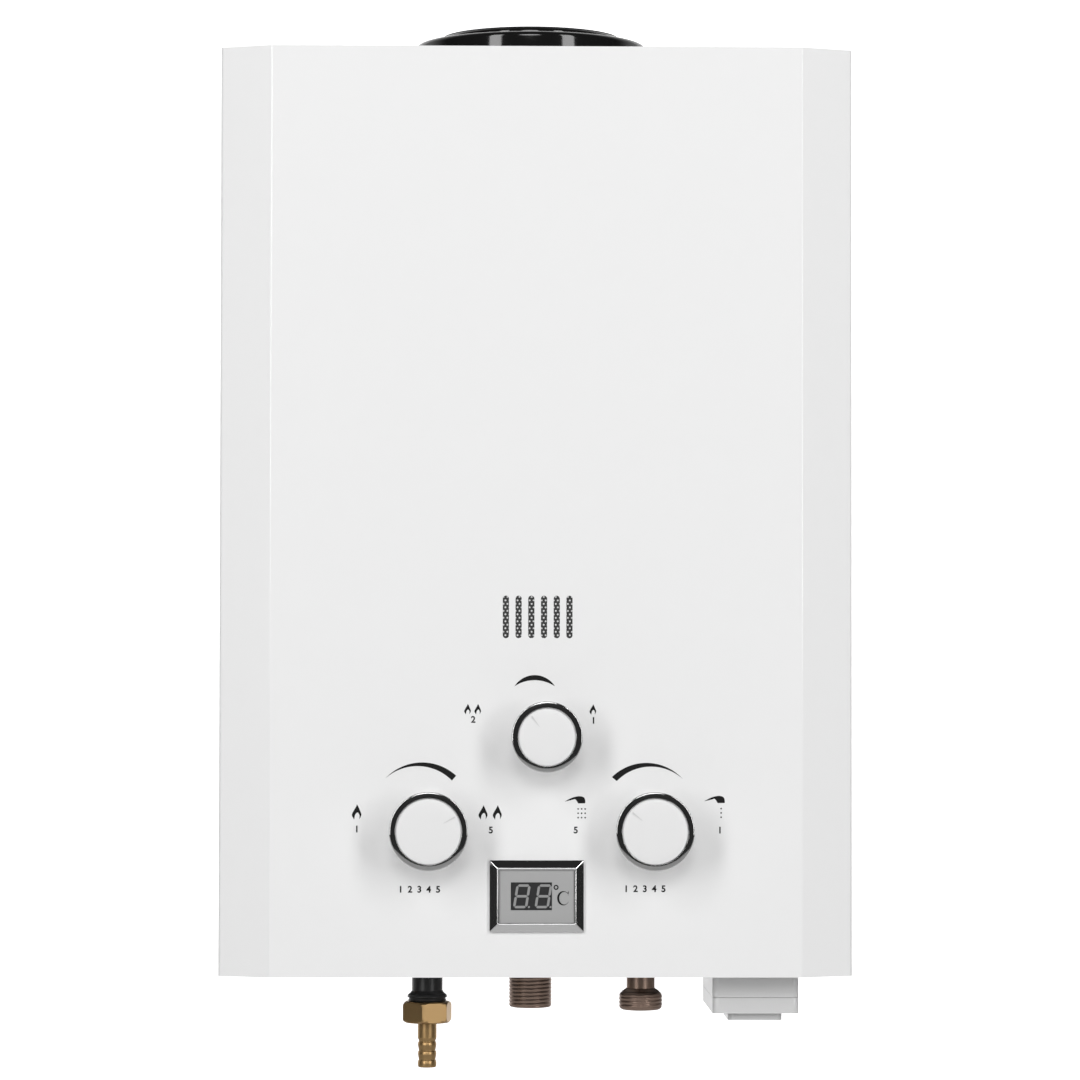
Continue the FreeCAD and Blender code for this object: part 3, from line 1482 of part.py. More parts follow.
def check_and_write():
    DOC.recompute()
    for thing in DOC.Objects:
        if "Invalid" in thing.State or "Error" in thing.State:
            raise ValueError(f"{thing.Label} failed: {thing.State}")
    os.makedirs("parts", exist_ok=True)
    for solid in PIECES:
        shape = solid.Shape
        if shape.isNull() or not shape.isValid() or not shape.Solids:
            raise ValueError(f"{solid.Label} has no valid shape")
        shape.exportStep(f"parts/{solid.Label}.step")
    print(len(PIECES), "pieces written")


build()
check_and_write()
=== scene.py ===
"""The looks of a wall-hung gas water heater: enamelled casing, ringed knobs, display and pipe ends.

Metres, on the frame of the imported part: x to the viewer's right, y into the wall, z up, floor of the casing at 0.
Drawings that are printed on the casing's front are given in millimetres, across and up.
"""

import json
import math

import bmesh
import bpy
from mathutils import Euler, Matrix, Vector


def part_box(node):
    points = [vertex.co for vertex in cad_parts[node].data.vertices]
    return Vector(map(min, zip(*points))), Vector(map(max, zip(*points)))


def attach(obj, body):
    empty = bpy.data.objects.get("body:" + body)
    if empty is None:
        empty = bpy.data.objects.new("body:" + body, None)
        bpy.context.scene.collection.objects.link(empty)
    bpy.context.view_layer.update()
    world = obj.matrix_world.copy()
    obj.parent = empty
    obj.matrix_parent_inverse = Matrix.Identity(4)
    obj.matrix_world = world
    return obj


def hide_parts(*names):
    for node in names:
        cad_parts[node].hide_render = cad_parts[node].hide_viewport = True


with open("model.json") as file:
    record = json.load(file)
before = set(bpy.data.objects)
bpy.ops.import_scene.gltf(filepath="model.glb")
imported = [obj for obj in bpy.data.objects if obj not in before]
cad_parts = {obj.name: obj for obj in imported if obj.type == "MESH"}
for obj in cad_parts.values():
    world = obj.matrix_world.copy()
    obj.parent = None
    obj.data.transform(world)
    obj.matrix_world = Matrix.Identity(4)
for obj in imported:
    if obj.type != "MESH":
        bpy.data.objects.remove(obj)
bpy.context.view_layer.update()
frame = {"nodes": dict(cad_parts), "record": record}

MM = 0.001
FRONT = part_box("front_cover")[0][1]
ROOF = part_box("front_cover")[1][2]
ROUND_STEPS = 128

# The camera stands two metres off the casing, a little left of its middle and a little low
CAMERA_PLACE = (-42.1 * MM, FRONT - 2.0, 150.5 * MM)
CAMERA_PITCH = 1.59
CAMERA_YAW = 1.25
CAMERA_ROLL = 0.085
FOCAL_PIXELS = 4240.4
PHOTO_PIXELS = 1080
SENSOR_MM = 36.0

# The stage: a wall well behind the part, a floor well below it, two softboxes and a soft frontal light
STAGE_SIZE = 14.0
STAGE_DEPTH = 6.0
STAGE_DROP = 1.1
BOX_DISTANCE = 2.2
BOX_ANGLE = math.radians(35)
BOX_HEIGHT = 0.95
BOX_SIZE = (0.45, 2.1)
BOX_POWER = 22.5
SUN_POWER = 0.7
ROOM_FRONT = 0.03
ROOM_REAR = 0.85

# Colour, metalness and roughness of each slot of the record
FINISHES = {
    "white_enamel": ((0.86, 0.86, 0.86), 0.0, 0.18),
    "zinc_plate": ((0.55, 0.56, 0.57), 1.0, 0.38),
    "black_enamel": ((0.008, 0.008, 0.008), 0.0, 0.08),
    "aluminised_steel": ((0.60, 0.60, 0.59), 1.0, 0.35),
    "copper": ((0.72, 0.36, 0.22), 1.0, 0.30),
    "stainless": ((0.55, 0.55, 0.55), 1.0, 0.30),
    "die_cast": ((0.52, 0.53, 0.54), 1.0, 0.45),
    "brass": ((0.40, 0.26, 0.12), 1.0, 0.38),
    "bronze": ((0.28, 0.20, 0.16), 1.0, 0.36),
    "black_steel": ((0.03, 0.03, 0.03), 0.3, 0.35),
    "rubber": ((0.02, 0.02, 0.02), 0.0, 0.6),
    "red_silicone": ((0.40, 0.04, 0.03), 0.0, 0.45),
    "white_plastic": ((0.80, 0.80, 0.80), 0.0, 0.35),
    "pale_plastic": ((0.62, 0.62, 0.62), 0.0, 0.30),
    "chrome": ((0.62, 0.62, 0.62), 1.0, 0.07),
    "grey_panel": ((0.37, 0.37, 0.37), 0.0, 0.45),
    "display_glass": ((0.030, 0.030, 0.031), 0.0, 0.25),
    "circuit_board": ((0.03, 0.16, 0.07), 0.0, 0.4),
    "ceramic": ((0.80, 0.78, 0.72), 0.0, 0.3),
    "black_plastic": ((0.02, 0.02, 0.02), 0.0, 0.35),
    "cell_wrap": ((0.05, 0.07, 0.10), 0.4, 0.3),
    "spring_steel": ((0.50, 0.50, 0.51), 1.0, 0.25),
}


def finish(name, colour, metallic, roughness, grain=0.0, grain_scale=400.0):
    """A material with a faint procedural unevenness in its gloss."""
    material = bpy.data.materials.new(name)
    material.use_nodes = True
    nodes, links = material.node_tree.nodes, material.node_tree.links
    shader = nodes["Principled BSDF"]
    shader.inputs["Base Color"].default_value = (*colour, 1)
    shader.inputs["Metallic"].default_value = metallic
    noise = nodes.new("ShaderNodeTexNoise")
    noise.inputs["Scale"].default_value = grain_scale
    noise.inputs["Detail"].default_value = 2
    spread = nodes.new("ShaderNodeMapRange")
    spread.inputs["To Min"].default_value = roughness * 0.92
    spread.inputs["To Max"].default_value = roughness * 1.08
    links.new(noise.outputs["Fac"], spread.inputs["Value"])
    links.new(spread.outputs["Result"], shader.inputs["Roughness"])
    if grain:
        bump = nodes.new("ShaderNodeBump")
        bump.inputs["Strength"].default_value = grain
        bump.inputs["Distance"].default_value = 0.02 * MM
        links.new(noise.outputs["Fac"], bump.inputs["Height"])
        links.new(bump.outputs["Normal"], shader.inputs["Normal"])
    return material


MATERIALS = {slot: finish(slot, *values) for slot, values in FINISHES.items()}
MATERIALS["printed_ink"] = finish("printed_ink", (0.012, 0.012, 0.012), 0.0, 0.5)
ink = MATERIALS["printed_ink"].node_tree.nodes["Principled BSDF"]
ink.inputs["Specular IOR Level"].default_value = 0.1
MATERIALS["unlit_segment"] = finish("unlit_segment", (0.27, 0.27, 0.27), 0.0, 0.5)
# painted shade: the grey of the pointer groove pressed in each knob cap stands in for the shade inside it
MATERIALS["pointer_groove_painted_shade"] = finish("pointer_groove_painted_shade", (0.66, 0.66, 0.66), 0.0, 0.4)
MATERIALS["mesh_dark"] = finish("mesh_dark", (0.035, 0.035, 0.035), 0.3, 0.5)
MATERIALS["mesh_hole"] = finish("mesh_hole", (0.62, 0.62, 0.62), 0.0, 0.6)


def dress_cad():
    slots = {part["node"]: part["material_slot"] for part in frame["record"]["subparts"]}
    for node, obj in frame["nodes"].items():
        obj.data.materials.clear()
        obj.data.materials.append(MATERIALS[slots[node]])


# Making a piece

def add_piece(name, mesh, material, body="root", stands_for=()):
    obj = bpy.data.objects.new(name, mesh)
    bpy.context.scene.collection.objects.link(obj)
    mesh.materials.append(MATERIALS[material])
    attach(obj, body)
    if stands_for:
        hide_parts(*stands_for)
    return obj


def mesh_from(name, points, faces, smooth_below=35):
    mesh = bpy.data.meshes.new(name)
    mesh.from_pydata(points, [], faces)
    work = bmesh.new()
    work.from_mesh(mesh)
    bmesh.ops.remove_doubles(work, verts=work.verts, dist=1e-7)
    bmesh.ops.dissolve_degenerate(work, edges=work.edges, dist=1e-7)
    bmesh.ops.recalc_face_normals(work, faces=work.faces)
    work.to_mesh(mesh)
    work.free()
    for face in mesh.polygons:
        face.use_smooth = True
    mesh.set_sharp_from_angle(angle=math.radians(smooth_below))
    return mesh


def rounded(corners, steps=6):
    """Corner points as (radius, height, rounding): each rounding becomes a short arc."""
    line = []
    for i, (across, up, bend) in enumerate(corners):
        corner = Vector((across, up))
        if not bend:
            line.append(corner)
            continue
        before = (Vector(corners[i - 1][:2]) - corner).normalized()
        after = (Vector(corners[(i + 1) % len(corners)][:2]) - corner).normalized()
        half = before.angle(after) / 2
        centre = corner + (before + after).normalized() * (bend / math.sin(half))
        start, end = (corner + way * (bend / math.tan(half)) for way in (before, after))
        for k in range(steps + 1):
            spoke = start.lerp(end, k / steps) - centre
            line.append(centre + spoke.normalized() * bend)
    return line


def surface(name, radius_at, heights, place, faces_viewer=False, steps=ROUND_STEPS):
    """A closed skin round an axis: radius_at(angle, row) gives each ring's radius."""
    points, faces = [], []
    for row, height in enumerate(heights):
        for k in range(steps):
            angle = 2 * math.pi * k / steps
            radius = radius_at(angle, row)
            across, along = radius * math.cos(angle), radius * math.sin(angle)
            local = (across, -height, along) if faces_viewer else (across, along, height)
            points.append(Vector(place) + Vector(local) * MM)
    for row in range(len(heights)):
        below, above = row * steps, (row + 1) % len(heights) * steps
        for k in range(steps):
            side = (k + 1) % steps
            faces.append((below + k, below + side, above + side, above + k))
    return mesh_from(name, points, faces)


def turned(name, corners, place, faces_viewer=False):
    """A turned form from a closed outline of (radius, height, rounding) in millimetres."""
    line = rounded(corners)
    return surface(
        name, lambda angle, row: line[row].x, [point.y for point in line], place, faces_viewer
    )


# Printed and drawn marks on flat faces

def arc_through(first, middle, last, steps=24):
    """Points along the circle through three points."""
    a, b, c = (Vector(point) for point in (first, middle, last))
    double = 2 * (a.x * (b.y - c.y) + b.x * (c.y - a.y) + c.x * (a.y - b.y))
    squares = [p.length_squared for p in (a, b, c)]
    centre = Vector((
        (squares[0] * (b.y - c.y) + squares[1] * (c.y - a.y) + squares[2] * (a.y - b.y)) / double,
        (squares[0] * (c.x - b.x) + squares[1] * (a.x - c.x) + squares[2] * (b.x - a.x)) / double,
    ))
    radius = (a - centre).length
    start, end = (math.atan2(*(p - centre).yx) for p in (a, c))
    turn = [start + (end - start) * k / steps for k in range(steps + 1)]
    return [centre + Vector((math.cos(t), math.sin(t))) * radius for t in turn]


def soft_line(points, steps=6):
    """A smooth line through the points, with its two ends left sharp."""
    spots = [Vector(point) for point in points]
    spots = [spots[0] * 2 - spots[1], *spots, spots[-1] * 2 - spots[-2]]
    line = []
    for p0, p1, p2, p3 in zip(spots, spots[1:], spots[2:], spots[3:]):
        for k in range(steps):
            t = k / steps
            line.append(
                (p1 * 2 + (p2 - p0) * t + (p0 * 2 - p1 * 5 + p2 * 4 - p3) * t * t
                 + (p1 * 3 - p0 - p2 * 3 + p3) * t ** 3) / 2
            )
    return line + [spots[-2]]


def disc(centre, radius, steps=16):
    turn = [2 * math.pi * k / steps for k in range(steps)]
    return [Vector(centre) + Vector((math.cos(t), math.sin(t))) * radius for t in turn]


def stroke(first, last, width):
    """A straight bar with pointed ends, as a display segment has."""
    a, b = Vector(first), Vector(last)
    along = (b - a).normalized() * (width / 2)
    across = Vector((-along.y, along.x))
    return [a, a + along + across, b - along + across, b, b - along - across, a + along - across]


def drawn(name, outlines, face, lift, material, body="root"):
    """Flat outlines in millimetres on a plane that faces the viewer, lifted off it by a hair."""
    work = bmesh.new()
    for outline in outlines:
        ring = [work.verts.new((x * MM, face - lift * MM, z * MM)) for x, z in outline]
        filled = bmesh.ops.triangle_fill(
            work, edges=[work.edges.new((ring[i - 1], ring[i])) for i in range(len(ring))], use_beauty=True
        )
        for thing in filled["geom"]:
            if isinstance(thing, bmesh.types.BMFace) and thing.normal.y > 0:
                thing.normal_flip()
    mesh = bpy.data.meshes.new(name)
    work.to_mesh(mesh)
    work.free()
    return add_piece(name, mesh, material, body=body)


# The flame mark in units of its own height: two outer sides and the hollow between its feet
FLAME_LEFT = [(0.03, 1.0), (-0.06, 0.80), (-0.18, 0.60), (-0.31, 0.30), (-0.16, 0.0)]
FLAME_HOLLOW = [(-0.16, 0.0), (-0.13, 0.17), (-0.09, 0.33), (0.06, 0.47), (0.18, 0.31), (0.19, 0.15), (0.18, 0.02)]
FLAME_RIGHT = [(0.18, 0.02), (0.30, 0.27), (0.29, 0.43), (0.21, 0.61), (0.14, 0.78), (0.03, 1.0)]

# The shower head in millimetres from the lower left corner of its head
SHOWER_TOP = [
    (-6.4, 0.8), (-4.6, 1.85), (-2.6, 2.75), (-0.9, 3.2), (0.6, 3.4), (2.2, 3.1), (3.1, 2.3), (3.4, 0.8), (3.3, 0.05)
]
SHOWER_LOW = [(3.3, 0.05), (0.0, 0.0), (-0.45, 0.8), (-0.9, 1.5), (-1.5, 2.05), (-2.6, 1.75), (-4.3, 1.3), (-6.4, 0.8)]
ARC_DROP = 0.7
DROP_PITCH = 1.65
DROP_LINE = 2.04


def flame(across, foot, height):
    line = soft_line(FLAME_LEFT)[:-1] + soft_line(FLAME_HOLLOW)[:-1] + soft_line(FLAME_RIGHT)[:-1]
    return [Vector((across, foot)) + point * height for point in line]


def shower(across, up, columns):
    corner = Vector((across, up))
    line = soft_line(SHOWER_TOP)[:-1] + [Vector(point) for point in SHOWER_LOW[:-1]]
    first = 1.65 - DROP_PITCH * (columns - 1) / 2
    drops = [
        disc(corner + Vector((first + DROP_PITCH * i, -2.6 - DROP_LINE * j)), 0.38)
        for i in range(columns) for j in range(3)
    ]
    return [[corner + point for point in line], *drops]


def print_casing():
    """The black marks round the knobs: three tapering arcs, flames and shower heads."""
    arcs = [
        arc_through((-10.4, 137.7), (-0.9, 143.0), (8.7, 137.7))
        + arc_through((8.7, 137.7), (-0.9, 140.6), (-10.4, 137.7))[1:-1],
        arc_through((-71.1, 94.3), (-52.9, 101.8), (-37.8, 95.6))
        + arc_through((-39.8, 93.3), (-54.0, 100.0), (-71.1, 94.3))[:-1],
        arc_through((35.6, 95.0), (51.8, 101.7), (69.0, 94.2))[:-1]
        + arc_through((69.0, 94.2), (52.8, 99.9), (37.9, 93.1)),
    ]
    marks = [
        flame(-84.6, 74.2, 7.2), flame(-25.1, 74.2, 6.8), flame(-18.4, 74.2, 6.8),
        flame(-32.5, 123.7, 5.0), flame(-27.7, 123.7, 5.0), flame(26.6, 123.6, 5.0),
        *shower(19.7, 81.9, 3), *shower(85.5, 82.1, 1),
    ]
    lowered = [[Vector(point) - Vector((0, ARC_DROP)) for point in arc] for arc in arcs]
    drawn("printed_marks", lowered + marks, FRONT, 0.05, "printed_ink")


NUMBER_HEIGHT = 3.0
NUMBER_BOLDNESS = 0.12
NUMBER_SPACING = 1.25


def lettering(name, words, middle, height):
    """Plain numbers, printed on the casing's front round a middle given in millimetres."""
    curve = bpy.data.curves.new(name, "FONT")
    curve.body = words
    curve.align_x, curve.align_y = "CENTER", "CENTER"
    curve.size = height * MM / 0.7
    curve.offset = NUMBER_BOLDNESS * MM
    curve.space_character = NUMBER_SPACING
    sample = bpy.data.objects.new(name, curve)
    bpy.context.scene.collection.objects.link(sample)
    mesh = bpy.data.meshes.new_from_object(sample.evaluated_get(bpy.context.evaluated_depsgraph_get()))
    bpy.data.objects.remove(sample)
    for vertex in mesh.vertices:
        across, up = vertex.co.x, vertex.co.y
        vertex.co = (middle[0] * MM + across, FRONT - 0.05 * MM, middle[1] * MM + up)
    add_piece(name, mesh, "printed_ink")


def print_numbers():
    """The numbers of the dials, in the places of the printed words."""
    for name, words, middle in (
        ("gas_low", "1", (-84.5, 69.6)), ("gas_high", "5", (-21.4, 69.2)), ("gas_scale", "1 2 3 4 5", (-55.0, 41.3)),
        ("season_high", "2", (-29.8, 121.2)), ("season_low", "1", (26.9, 120.8)),
        ("water_high", "5", (18.6, 69.2)), ("water_low", "1", (86.6, 69.2)), ("water_scale", "1 2 3 4 5", (51.2, 41.6)),
    ):
        lettering(name, words, middle, NUMBER_HEIGHT)


def cover_screws():
    """Four pan-headed screws that hold the cover, near the wall on its roof and floor."""
    for side in (-112, 112):
        for place, level, way in (("roof", ROOF / MM, 1), ("floor", 0, -1)):
            name = f"screw_{place}_{'left' if side < 0 else 'right'}"
            head = turned(name, [
                (0, level - way * 0.5, 0), (3.6, level - way * 0.5, 0), (3.6, level + way * 0.6, 0.3),
                (2.6, level + way * 1.7, 0.9), (0, level + way * 2.0, 0),
            ], (side * MM, -7 * MM, 0))
            add_piece(name, head, "zinc_plate")


# Knobs, rings and collar

# heights off the casing, in millimetres
KNOB_TOP = 20.6
POINTER_LENGTH = 6.0
POINTER_WIDTH = 0.7
POINTER_MARGIN = 1.5
RING_LOW = 14.6
RING_TOP = 21.2
CAP_CROWN = 0.5


def groove(prefix, centre, cap, pointer, body):
    """The faint pointer line pressed in the cap, from near its rim towards the middle, drawn as a flat grey mark:
    painted shade in the groove.
    """
    way = Vector((math.cos(math.radians(pointer)), math.sin(math.radians(pointer))))
    across = Vector((-way.y, way.x)) * (POINTER_WIDTH / 2)
    near, far = way * (cap - POINTER_MARGIN), way * (cap - POINTER_MARGIN - POINTER_LENGTH)
    middle = Vector((centre[0] / MM, centre[2] / MM))
    line = [middle + spot for spot in (near + across, far + across * 0.3, far - across * 0.3, near - across)]
    drawn(
        f"{prefix}_pointer", [line], FRONT - KNOB_TOP * MM, 0.02, "pointer_groove_painted_shade", body=body
    )


def build_knob(prefix, pointer, body):
    low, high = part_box(f"{prefix}_knob_ring")
    centre = ((low.x + high.x) / 2, FRONT, (low.z + high.z) / 2)
    radius = (high.x - low.x) / 2 / MM
    cap = (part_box(f"{prefix}_knob")[1].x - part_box(f"{prefix}_knob")[0].x) / 2 / MM
    white = turned(f"{prefix}_knob_cap", [
        (0, 1.0, 0), (cap, 1.0, 0.5), (cap, KNOB_TOP - CAP_CROWN, 0.6),
        (cap * 0.6, KNOB_TOP - CAP_CROWN * 0.35, 0), (0, KNOB_TOP, 0),
    ], centre, faces_viewer=True)
    add_piece(f"{prefix}_knob_cap", white, "white_plastic", body, stands_for=[f"{prefix}_knob"])
    groove(prefix, centre, cap, pointer, body)
    band = turned(f"{prefix}_knob_band", [
        (cap + 0.1, RING_LOW, 0.2), (radius - 0.3, RING_LOW, 0.2), (radius, RING_LOW + 1.5, 0.8),
        (radius, RING_TOP - 0.25, 0.55), (cap + 0.1, RING_TOP, 0.08),
    ], centre, faces_viewer=True)
    add_piece(f"{prefix}_knob_band", band, "chrome", body, stands_for=[f"{prefix}_knob_ring"])


def build_collar():
    low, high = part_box("flue_collar")
    centre = ((low.x + high.x) / 2, (low.y + high.y) / 2, ROOF)
    step, rise = (high.x - low.x) / 2 / MM, (high.z - ROOF) / MM
    foot = (low.z - ROOF) / MM
    collar = turned("collar_skin", [
        (42.5, foot, 0), (44.0, foot, 0), (44.0, 0, 0), (step, 0, 0), (step, 8.3, 2.4),
        (44.4, 8.3, 0.6), (44.0, rise, 2.2), (42.5, rise - 0.2, 0.5),
    ], centre)
    add_piece("collar_skin", collar, "black_enamel", stands_for=["flue_collar"])


# Pipe ends

THREAD_PITCH = 1.814
THREAD_RADIUS = 10.4775
THREAD_DEPTH = 0.32
SHELF_HEIGHT = 15.0


def thread_radius(outer, pitch, depth, heights, ends):
    """The radius of a helical thread that runs out into a rounded start at each end."""
    low, high, easing = ends

    def radius_at(angle, row):
        height = heights[row]
        phase = (height / pitch - angle / (2 * math.pi)) % 1
        cut = depth * (1 - abs(2 * phase - 1)) ** 1.2
        reach = min(height - low, high - height)
        shoulder = max(0.0, easing - reach)
        round_cut = easing - math.sqrt(max(0.0, easing ** 2 - shoulder ** 2))
        return outer - max(cut, round_cut)
    return radius_at


def build_pipe_end(name, node, length, neck, bore, easing):
    """A threaded end of a length, then a neck as (radius, height over the thread), up to the shelf."""
    low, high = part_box(node)
    centre = ((low.x + high.x) / 2, (low.y + high.y) / 2, 0)
    thread = (low.z / MM, low.z / MM + length)
    rows = 10 * round((thread[1] - thread[0]) / THREAD_PITCH)
    heights = [thread[0] + (thread[1] - thread[0]) * k / rows for k in range(rows + 1)]
    threaded = thread_radius(THREAD_RADIUS, THREAD_PITCH, THREAD_DEPTH, heights, (*thread, easing))
    inside = [(bore, thread[0] + 1.0), (bore + 0.8, thread[0])]
    above = [
        (THREAD_RADIUS - easing * 0.6, thread[1] + 0.1), (neck[0], thread[1] + neck[1]),
        (neck[0], SHELF_HEIGHT), (bore, SHELF_HEIGHT),
    ]
    all_heights = [h for _, h in inside] + heights + [h for _, h in above]
    radii = [r for r, _ in inside], [r for r, _ in above]

    def radius_at(angle, row):
        if row < len(inside):
            return radii[0][row]
        if row < len(inside) + len(heights):
            return threaded(angle, row - len(inside))
        return radii[1][row - len(inside) - len(heights)]
    mesh = surface(name, radius_at, all_heights, centre)
    add_piece(name, mesh, "bronze", stands_for=[node])


NUT_LEAN = 19.0


def build_gas_tail():
    """The ridged gas inlet, the hexagon nut and the barbed hose tail."""
    stub_low, stub_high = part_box("gas_inlet_stub")
    centre = ((stub_low.x + stub_high.x) / 2, (stub_low.y + stub_high.y) / 2, 0)
    low = stub_low.z / MM
    stub = turned("gas_stub_skin", [
        (4.0, low, 0), (8.6, low, 0.3), (9.4, low + 0.9, 0.4), (8.5, low + 1.5, 0.3), (9.75, low + 2.2, 0.4),
        (9.3, low + 3.3, 0.4), (8.2, low + 4.1, 0.5), (7.4, low + 5.2, 0.5), (7.4, 18, 0), (4.0, 18, 0),
    ], centre)
    add_piece("gas_stub_skin", stub, "black_steel", stands_for=["gas_inlet_stub"])

    nut_low, nut_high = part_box("union_nut")
    bottom, top = nut_low.z / MM, nut_high.z / MM
    inner, flat = 4.65, 10.75
    ramp = [0.0, 0.5, 1.0, 1.6, 2.4]
    heights = [bottom + h for h in ramp] + [top - h for h in reversed(ramp)]
    all_heights = [bottom, *heights, top]

    def nut_radius(angle, row):
        if row in (0, len(all_heights) - 1):
            return inner
        height = all_heights[row]
        sixth = math.pi / 3
        lean = (angle - math.radians(NUT_LEAN)) % sixth - sixth / 2
        hexagon = flat / math.cos(lean)
        reach = min(height - bottom, top - height)
        return min(hexagon, flat - 0.35 + reach * 1.7)
    nut = surface("nut_skin", nut_radius, all_heights, centre, steps=192)
    add_piece("nut_skin", nut, "brass", stands_for=["union_nut"])

    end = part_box("hose_barb")[0].z / MM
    line = [(2.6, end, 0), (4.1, end, 0.3), (4.5, end + 0.8, 0.4)]
    for i in range(3):
        foot = end + 4.4 * i
        line += [(4.55, foot + 2.0, 0.6), (4.4, foot + 3.2, 0.5), (4.0, foot + 3.7, 0.2), (4.1, foot + 4.2, 0.2)]
    line += [(4.55, end + 14.2, 0.3), (4.55, low, 0), (2.6, low, 0)]
    tail = turned("hose_tail_skin", line, centre)
    add_piece("hose_tail_skin", tail, "brass", stands_for=["hose_barb"])


# Display

DIGIT_HEIGHT = 10.1
DIGIT_WIDTH = 5.6
DIGIT_SLANT = math.tan(math.radians(9))
SEGMENT_WIDTH = 1.15


def digit(left, foot):
    """Seven segments and a point, leaning to the right."""
    middle, top, right = foot + DIGIT_HEIGHT / 2, foot + DIGIT_HEIGHT, left + DIGIT_WIDTH
    bars = [
        ((left, foot), (right, foot)), ((left, middle), (right, middle)), ((left, top), (right, top)),
        ((left, foot), (left, middle)), ((left, middle), (left, top)),
        ((right, foot), (right, middle)), ((right, middle), (right, top)),
    ]
    inset = 0.14
    outlines = []
    for a, b in bars:
        a, b = Vector(a), Vector(b)
        gap = (b - a).normalized() * inset
        outlines.append(stroke(a + gap, b - gap, SEGMENT_WIDTH))
    outlines.append(disc((right + 1.35, foot), 0.5))
    lean = [[Vector((p.x + (p.y - foot) * DIGIT_SLANT, p.y)) for p in outline] for outline in outlines]
    return lean


def build_display():
    """The mitred chrome frame with a soft inner lip, the digits and the printed degree sign."""
    low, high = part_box("display_bezel")
    middle = Vector(((low.x + high.x) / 2, (low.z + high.z) / 2))
    half = Vector(((high.x - low.x) / 2, (high.z - low.z) / 2))
    # inset from the outer edge and height off the casing, in millimetres
    rings = [(0, 0.05), (0, 1.5), (3.9, 3.5), (4.55, 2.9), (4.55, -1.7)]
    points, faces = [], []
    for inset, rise in rings:
        across, up = half.x - inset * MM, half.y - inset * MM
        for sx, sz in ((-1, -1), (1, -1), (1, 1), (-1, 1)):
            points.append((middle.x + sx * across, FRONT - rise * MM, middle.y + sz * up))
    for ring in range(len(rings) - 1):
        for k in range(4):
            a, b = ring * 4 + k, ring * 4 + (k + 1) % 4
            faces.append((a, b, b + 4, a + 4))
    mesh = mesh_from("bezel_skin", points, faces, smooth_below=30)
    bezel = add_piece("bezel_skin", mesh, "chrome", stands_for=["display_bezel"])
    soften = bezel.modifiers.new("edges", "BEVEL")
    soften.width = 0.3 * MM
    soften.segments = 4
    soften.limit_method = "ANGLE"
    soften.angle_limit = math.radians(10)
    soften.harden_normals = True

    glass_low, glass_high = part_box("display_digits")
    face = glass_low.y
    left, foot = glass_low.x / MM + 1.5, glass_low.z / MM + 1.4
    drawn(
        "digit_segments", digit(left, foot) + digit(left + 10.16, foot), face, 0.06,
        "unlit_segment",
    )
    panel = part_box("display_panel")[0].y
    sign_middle = Vector((12.7, 37.4))
    outside = [sign_middle + Vector((math.cos(t) * 2.9, math.sin(t) * 3.35))
               for t in (math.radians(32 + 296 * k / 40) for k in range(41))]
    inside = [sign_middle + Vector((0.45 + math.cos(t) * 2.35, math.sin(t) * 2.95))
              for t in (math.radians(36 + 288 * k / 40) for k in range(41))]
    foot_serif = [sign_middle + Vector(spot) for spot in ((2.75, -1.75), (2.5, -1.7))]
    head_serif = [
        sign_middle + Vector(spot) for spot in ((2.15, 1.35), (2.35, 1.35), (2.6, 3.25), (2.4, 3.25), (2.2, 2.6))
    ]
    letter = outside[3:] + foot_serif + list(reversed(inside)) + head_serif
    ring_middle = (9.3, 42.5)
    outer, inner = disc(ring_middle, 1.2, 24), disc(ring_middle, 0.62, 24)
    ring_faces = [[outer[k], outer[(k + 1) % 24], inner[(k + 1) % 24], inner[k]] for k in range(24)]
    drawn("degree_sign", [letter, *ring_faces], panel, 0.06, "printed_ink")


# Flame window

MESH_PITCH = 1.9
MESH_HOLE = 0.44


def build_window():
    """The dark perforated sheet behind the six slots, with its rows of staggered holes."""
    node = frame["nodes"]["window_mesh"]
    node.data.materials.clear()
    node.data.materials.append(MATERIALS["mesh_dark"])
    low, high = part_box("window_mesh")
    line = MESH_PITCH * math.sqrt(3) / 2
    holes, row = [], 0
    height = low.z / MM + 1.5
    while height < high.z / MM - 1.5:
        across = low.x / MM + 1.5 + (row % 2) * MESH_PITCH / 2
        while across < high.x / MM - 1.5:
            holes.append(disc((across, height), MESH_HOLE, 10))
            across += MESH_PITCH
        height += line
        row += 1
    drawn("window_holes", holes, low.y, 0.05, "mesh_hole")


def soften_edges(node, width, angle=30):
    """Rounds the edges of a CAD piece without touching its mesh."""
    obj = frame["nodes"][node]
    weld = obj.modifiers.new("weld", "WELD")
    weld.merge_threshold = 1e-6
    soften = obj.modifiers.new("edges", "BEVEL")
    soften.width = width * MM
    soften.segments = 3
    soften.limit_method = "ANGLE"
    soften.angle_limit = math.radians(angle)
    soften.harden_normals = True


# Stage, light and camera

def build_stage():
    """A white wall far behind the part and a pale floor, as in a packshot."""
    for name, place, turn, glow in (
        ("backdrop", (0, STAGE_DEPTH, 0), (math.pi / 2, 0, 0), 1.0),
        ("floor", (0, 0, -STAGE_DROP), (0, 0, 0), 0.0),
    ):
        bpy.ops.mesh.primitive_plane_add(size=STAGE_SIZE, location=place, rotation=turn)
        sheet = bpy.context.object
        sheet.name = name
        paper = bpy.data.materials.new(name)
        paper.use_nodes = True
        shader = paper.node_tree.nodes["Principled BSDF"]
        shader.inputs["Base Color"].default_value = (0.85, 0.85, 0.85, 1)
        shader.inputs["Roughness"].default_value = 0.8
        shader.inputs["Emission Color"].default_value = (1, 1, 1, 1)
        shader.inputs["Emission Strength"].default_value = glow
        sheet.data.materials.append(paper)


def area_light(name, place, target, size, power):
    data = bpy.data.lights.new(name, "AREA")
    data.shape = "RECTANGLE"
    data.size, data.size_y = size
    data.energy = power
    light = bpy.data.objects.new(name, data)
    light.location = place
    light.rotation_euler = (Vector(target) - Vector(place)).to_track_quat("-Z", "Y").to_euler()
    bpy.context.scene.collection.objects.link(light)


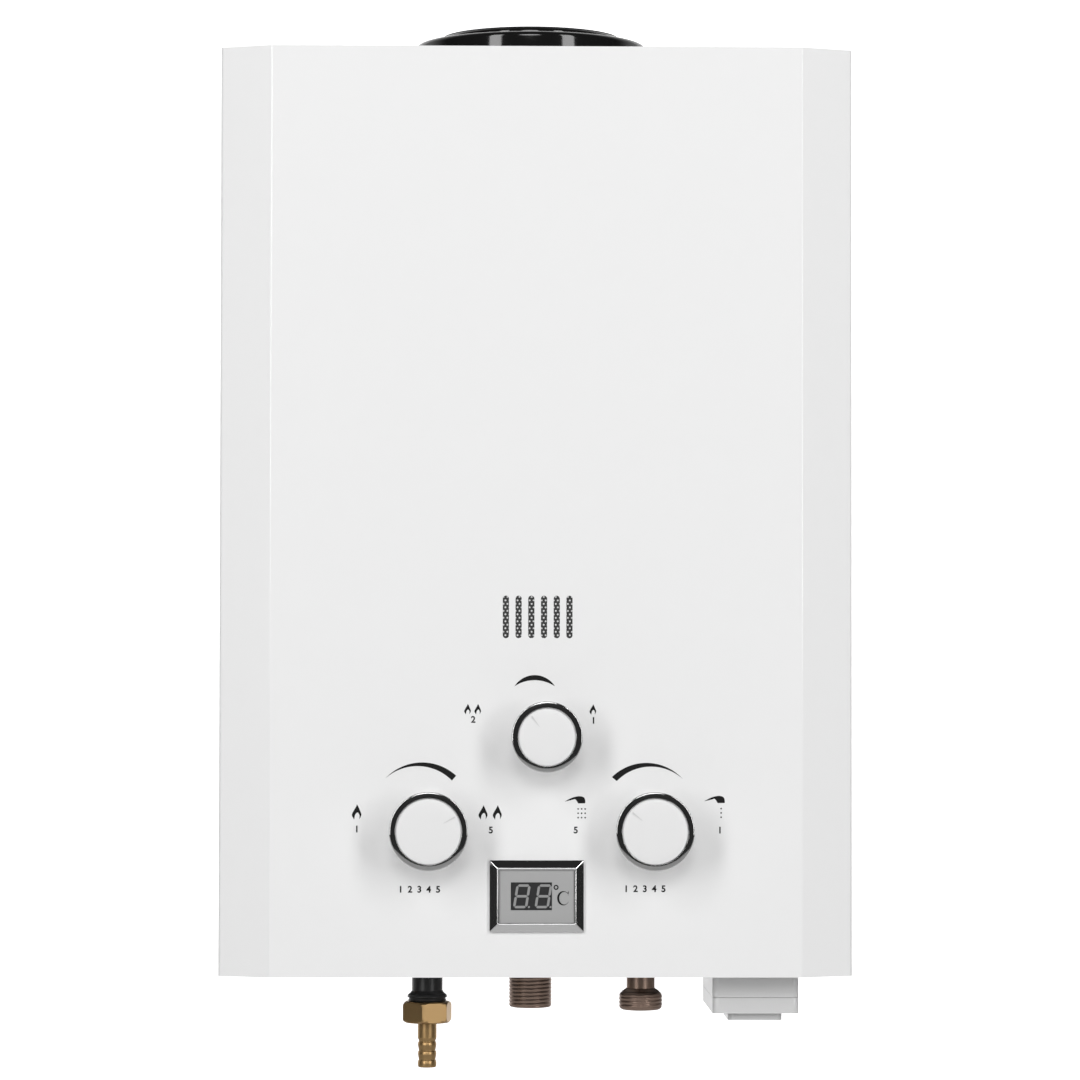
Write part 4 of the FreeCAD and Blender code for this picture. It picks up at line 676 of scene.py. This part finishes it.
def light_scene():
    """Two tall softboxes beside the camera, a soft frontal light, and a room that is pale behind the part."""
    for name, side in (("left_box", -1), ("right_box", 1)):
        place = (side * BOX_DISTANCE * math.sin(BOX_ANGLE), -BOX_DISTANCE * math.cos(BOX_ANGLE), BOX_HEIGHT)
        area_light(name, place, (0, FRONT, BOX_HEIGHT), BOX_SIZE, BOX_POWER)
    sun = bpy.data.lights.new("front_sun", "SUN")
    sun.energy = SUN_POWER
    sun.angle = math.radians(20)
    lamp = bpy.data.objects.new("front_sun", sun)
    lamp.rotation_euler = Vector((0.03, 1, -0.46)).to_track_quat("-Z", "Y").to_euler()
    bpy.context.scene.collection.objects.link(lamp)

    world = bpy.data.worlds.new("studio")
    bpy.context.scene.world = world
    world.use_nodes = True
    nodes, links = world.node_tree.nodes, world.node_tree.links
    place = nodes.new("ShaderNodeTexCoord")
    parts = nodes.new("ShaderNodeSeparateXYZ")
    ramp = nodes.new("ShaderNodeMapRange")
    ramp.interpolation_type = "SMOOTHSTEP"
    ramp.inputs["From Min"].default_value = 0.05
    ramp.inputs["From Max"].default_value = 0.55
    ramp.inputs["To Min"].default_value = ROOM_FRONT
    ramp.inputs["To Max"].default_value = ROOM_REAR
    links.new(place.outputs["Generated"], parts.inputs["Vector"])
    links.new(parts.outputs["Y"], ramp.inputs["Value"])
    links.new(ramp.outputs["Result"], nodes["Background"].inputs["Strength"])
    nodes["Background"].inputs["Color"].default_value = (1, 1, 1, 1)


def place_camera():
    data = bpy.data.cameras.new("camera")
    data.sensor_width = SENSOR_MM
    data.lens = FOCAL_PIXELS / PHOTO_PIXELS * SENSOR_MM
    data.clip_end = 20
    camera = bpy.data.objects.new("camera", data)
    camera.location = CAMERA_PLACE
    pitch, yaw, roll = (math.radians(turn) for turn in (CAMERA_PITCH, CAMERA_YAW, CAMERA_ROLL))
    upright = Euler((math.pi / 2 + pitch, 0, -yaw)).to_quaternion()
    camera.rotation_euler = (upright @ Euler((0, 0, roll)).to_quaternion()).to_euler()
    bpy.context.scene.collection.objects.link(camera)
    bpy.context.scene.camera = camera


dress_cad()
print_casing()
print_numbers()
cover_screws()
for prefix, pointer in (("gas", 29), ("water", 140), ("season", 127)):
    build_knob(prefix, pointer, f"{prefix}_knob_body")
build_collar()
build_pipe_end("hot_end_skin", "hot_outlet", 23.4, (10.0, 0.4), 6.3, 1.6)
build_pipe_end("cold_end_skin", "cold_inlet", 8.9, (6.8, 1.6), 4.8, 2.4)
build_gas_tail()
build_display()
build_window()
soften_edges("front_cover", 1.2, angle=50)
soften_edges("battery_box", 0.8)
soften_edges("battery_door", 0.8)
build_stage()
light_scene()
place_camera()
bpy.context.scene.view_settings.view_transform = "Standard"
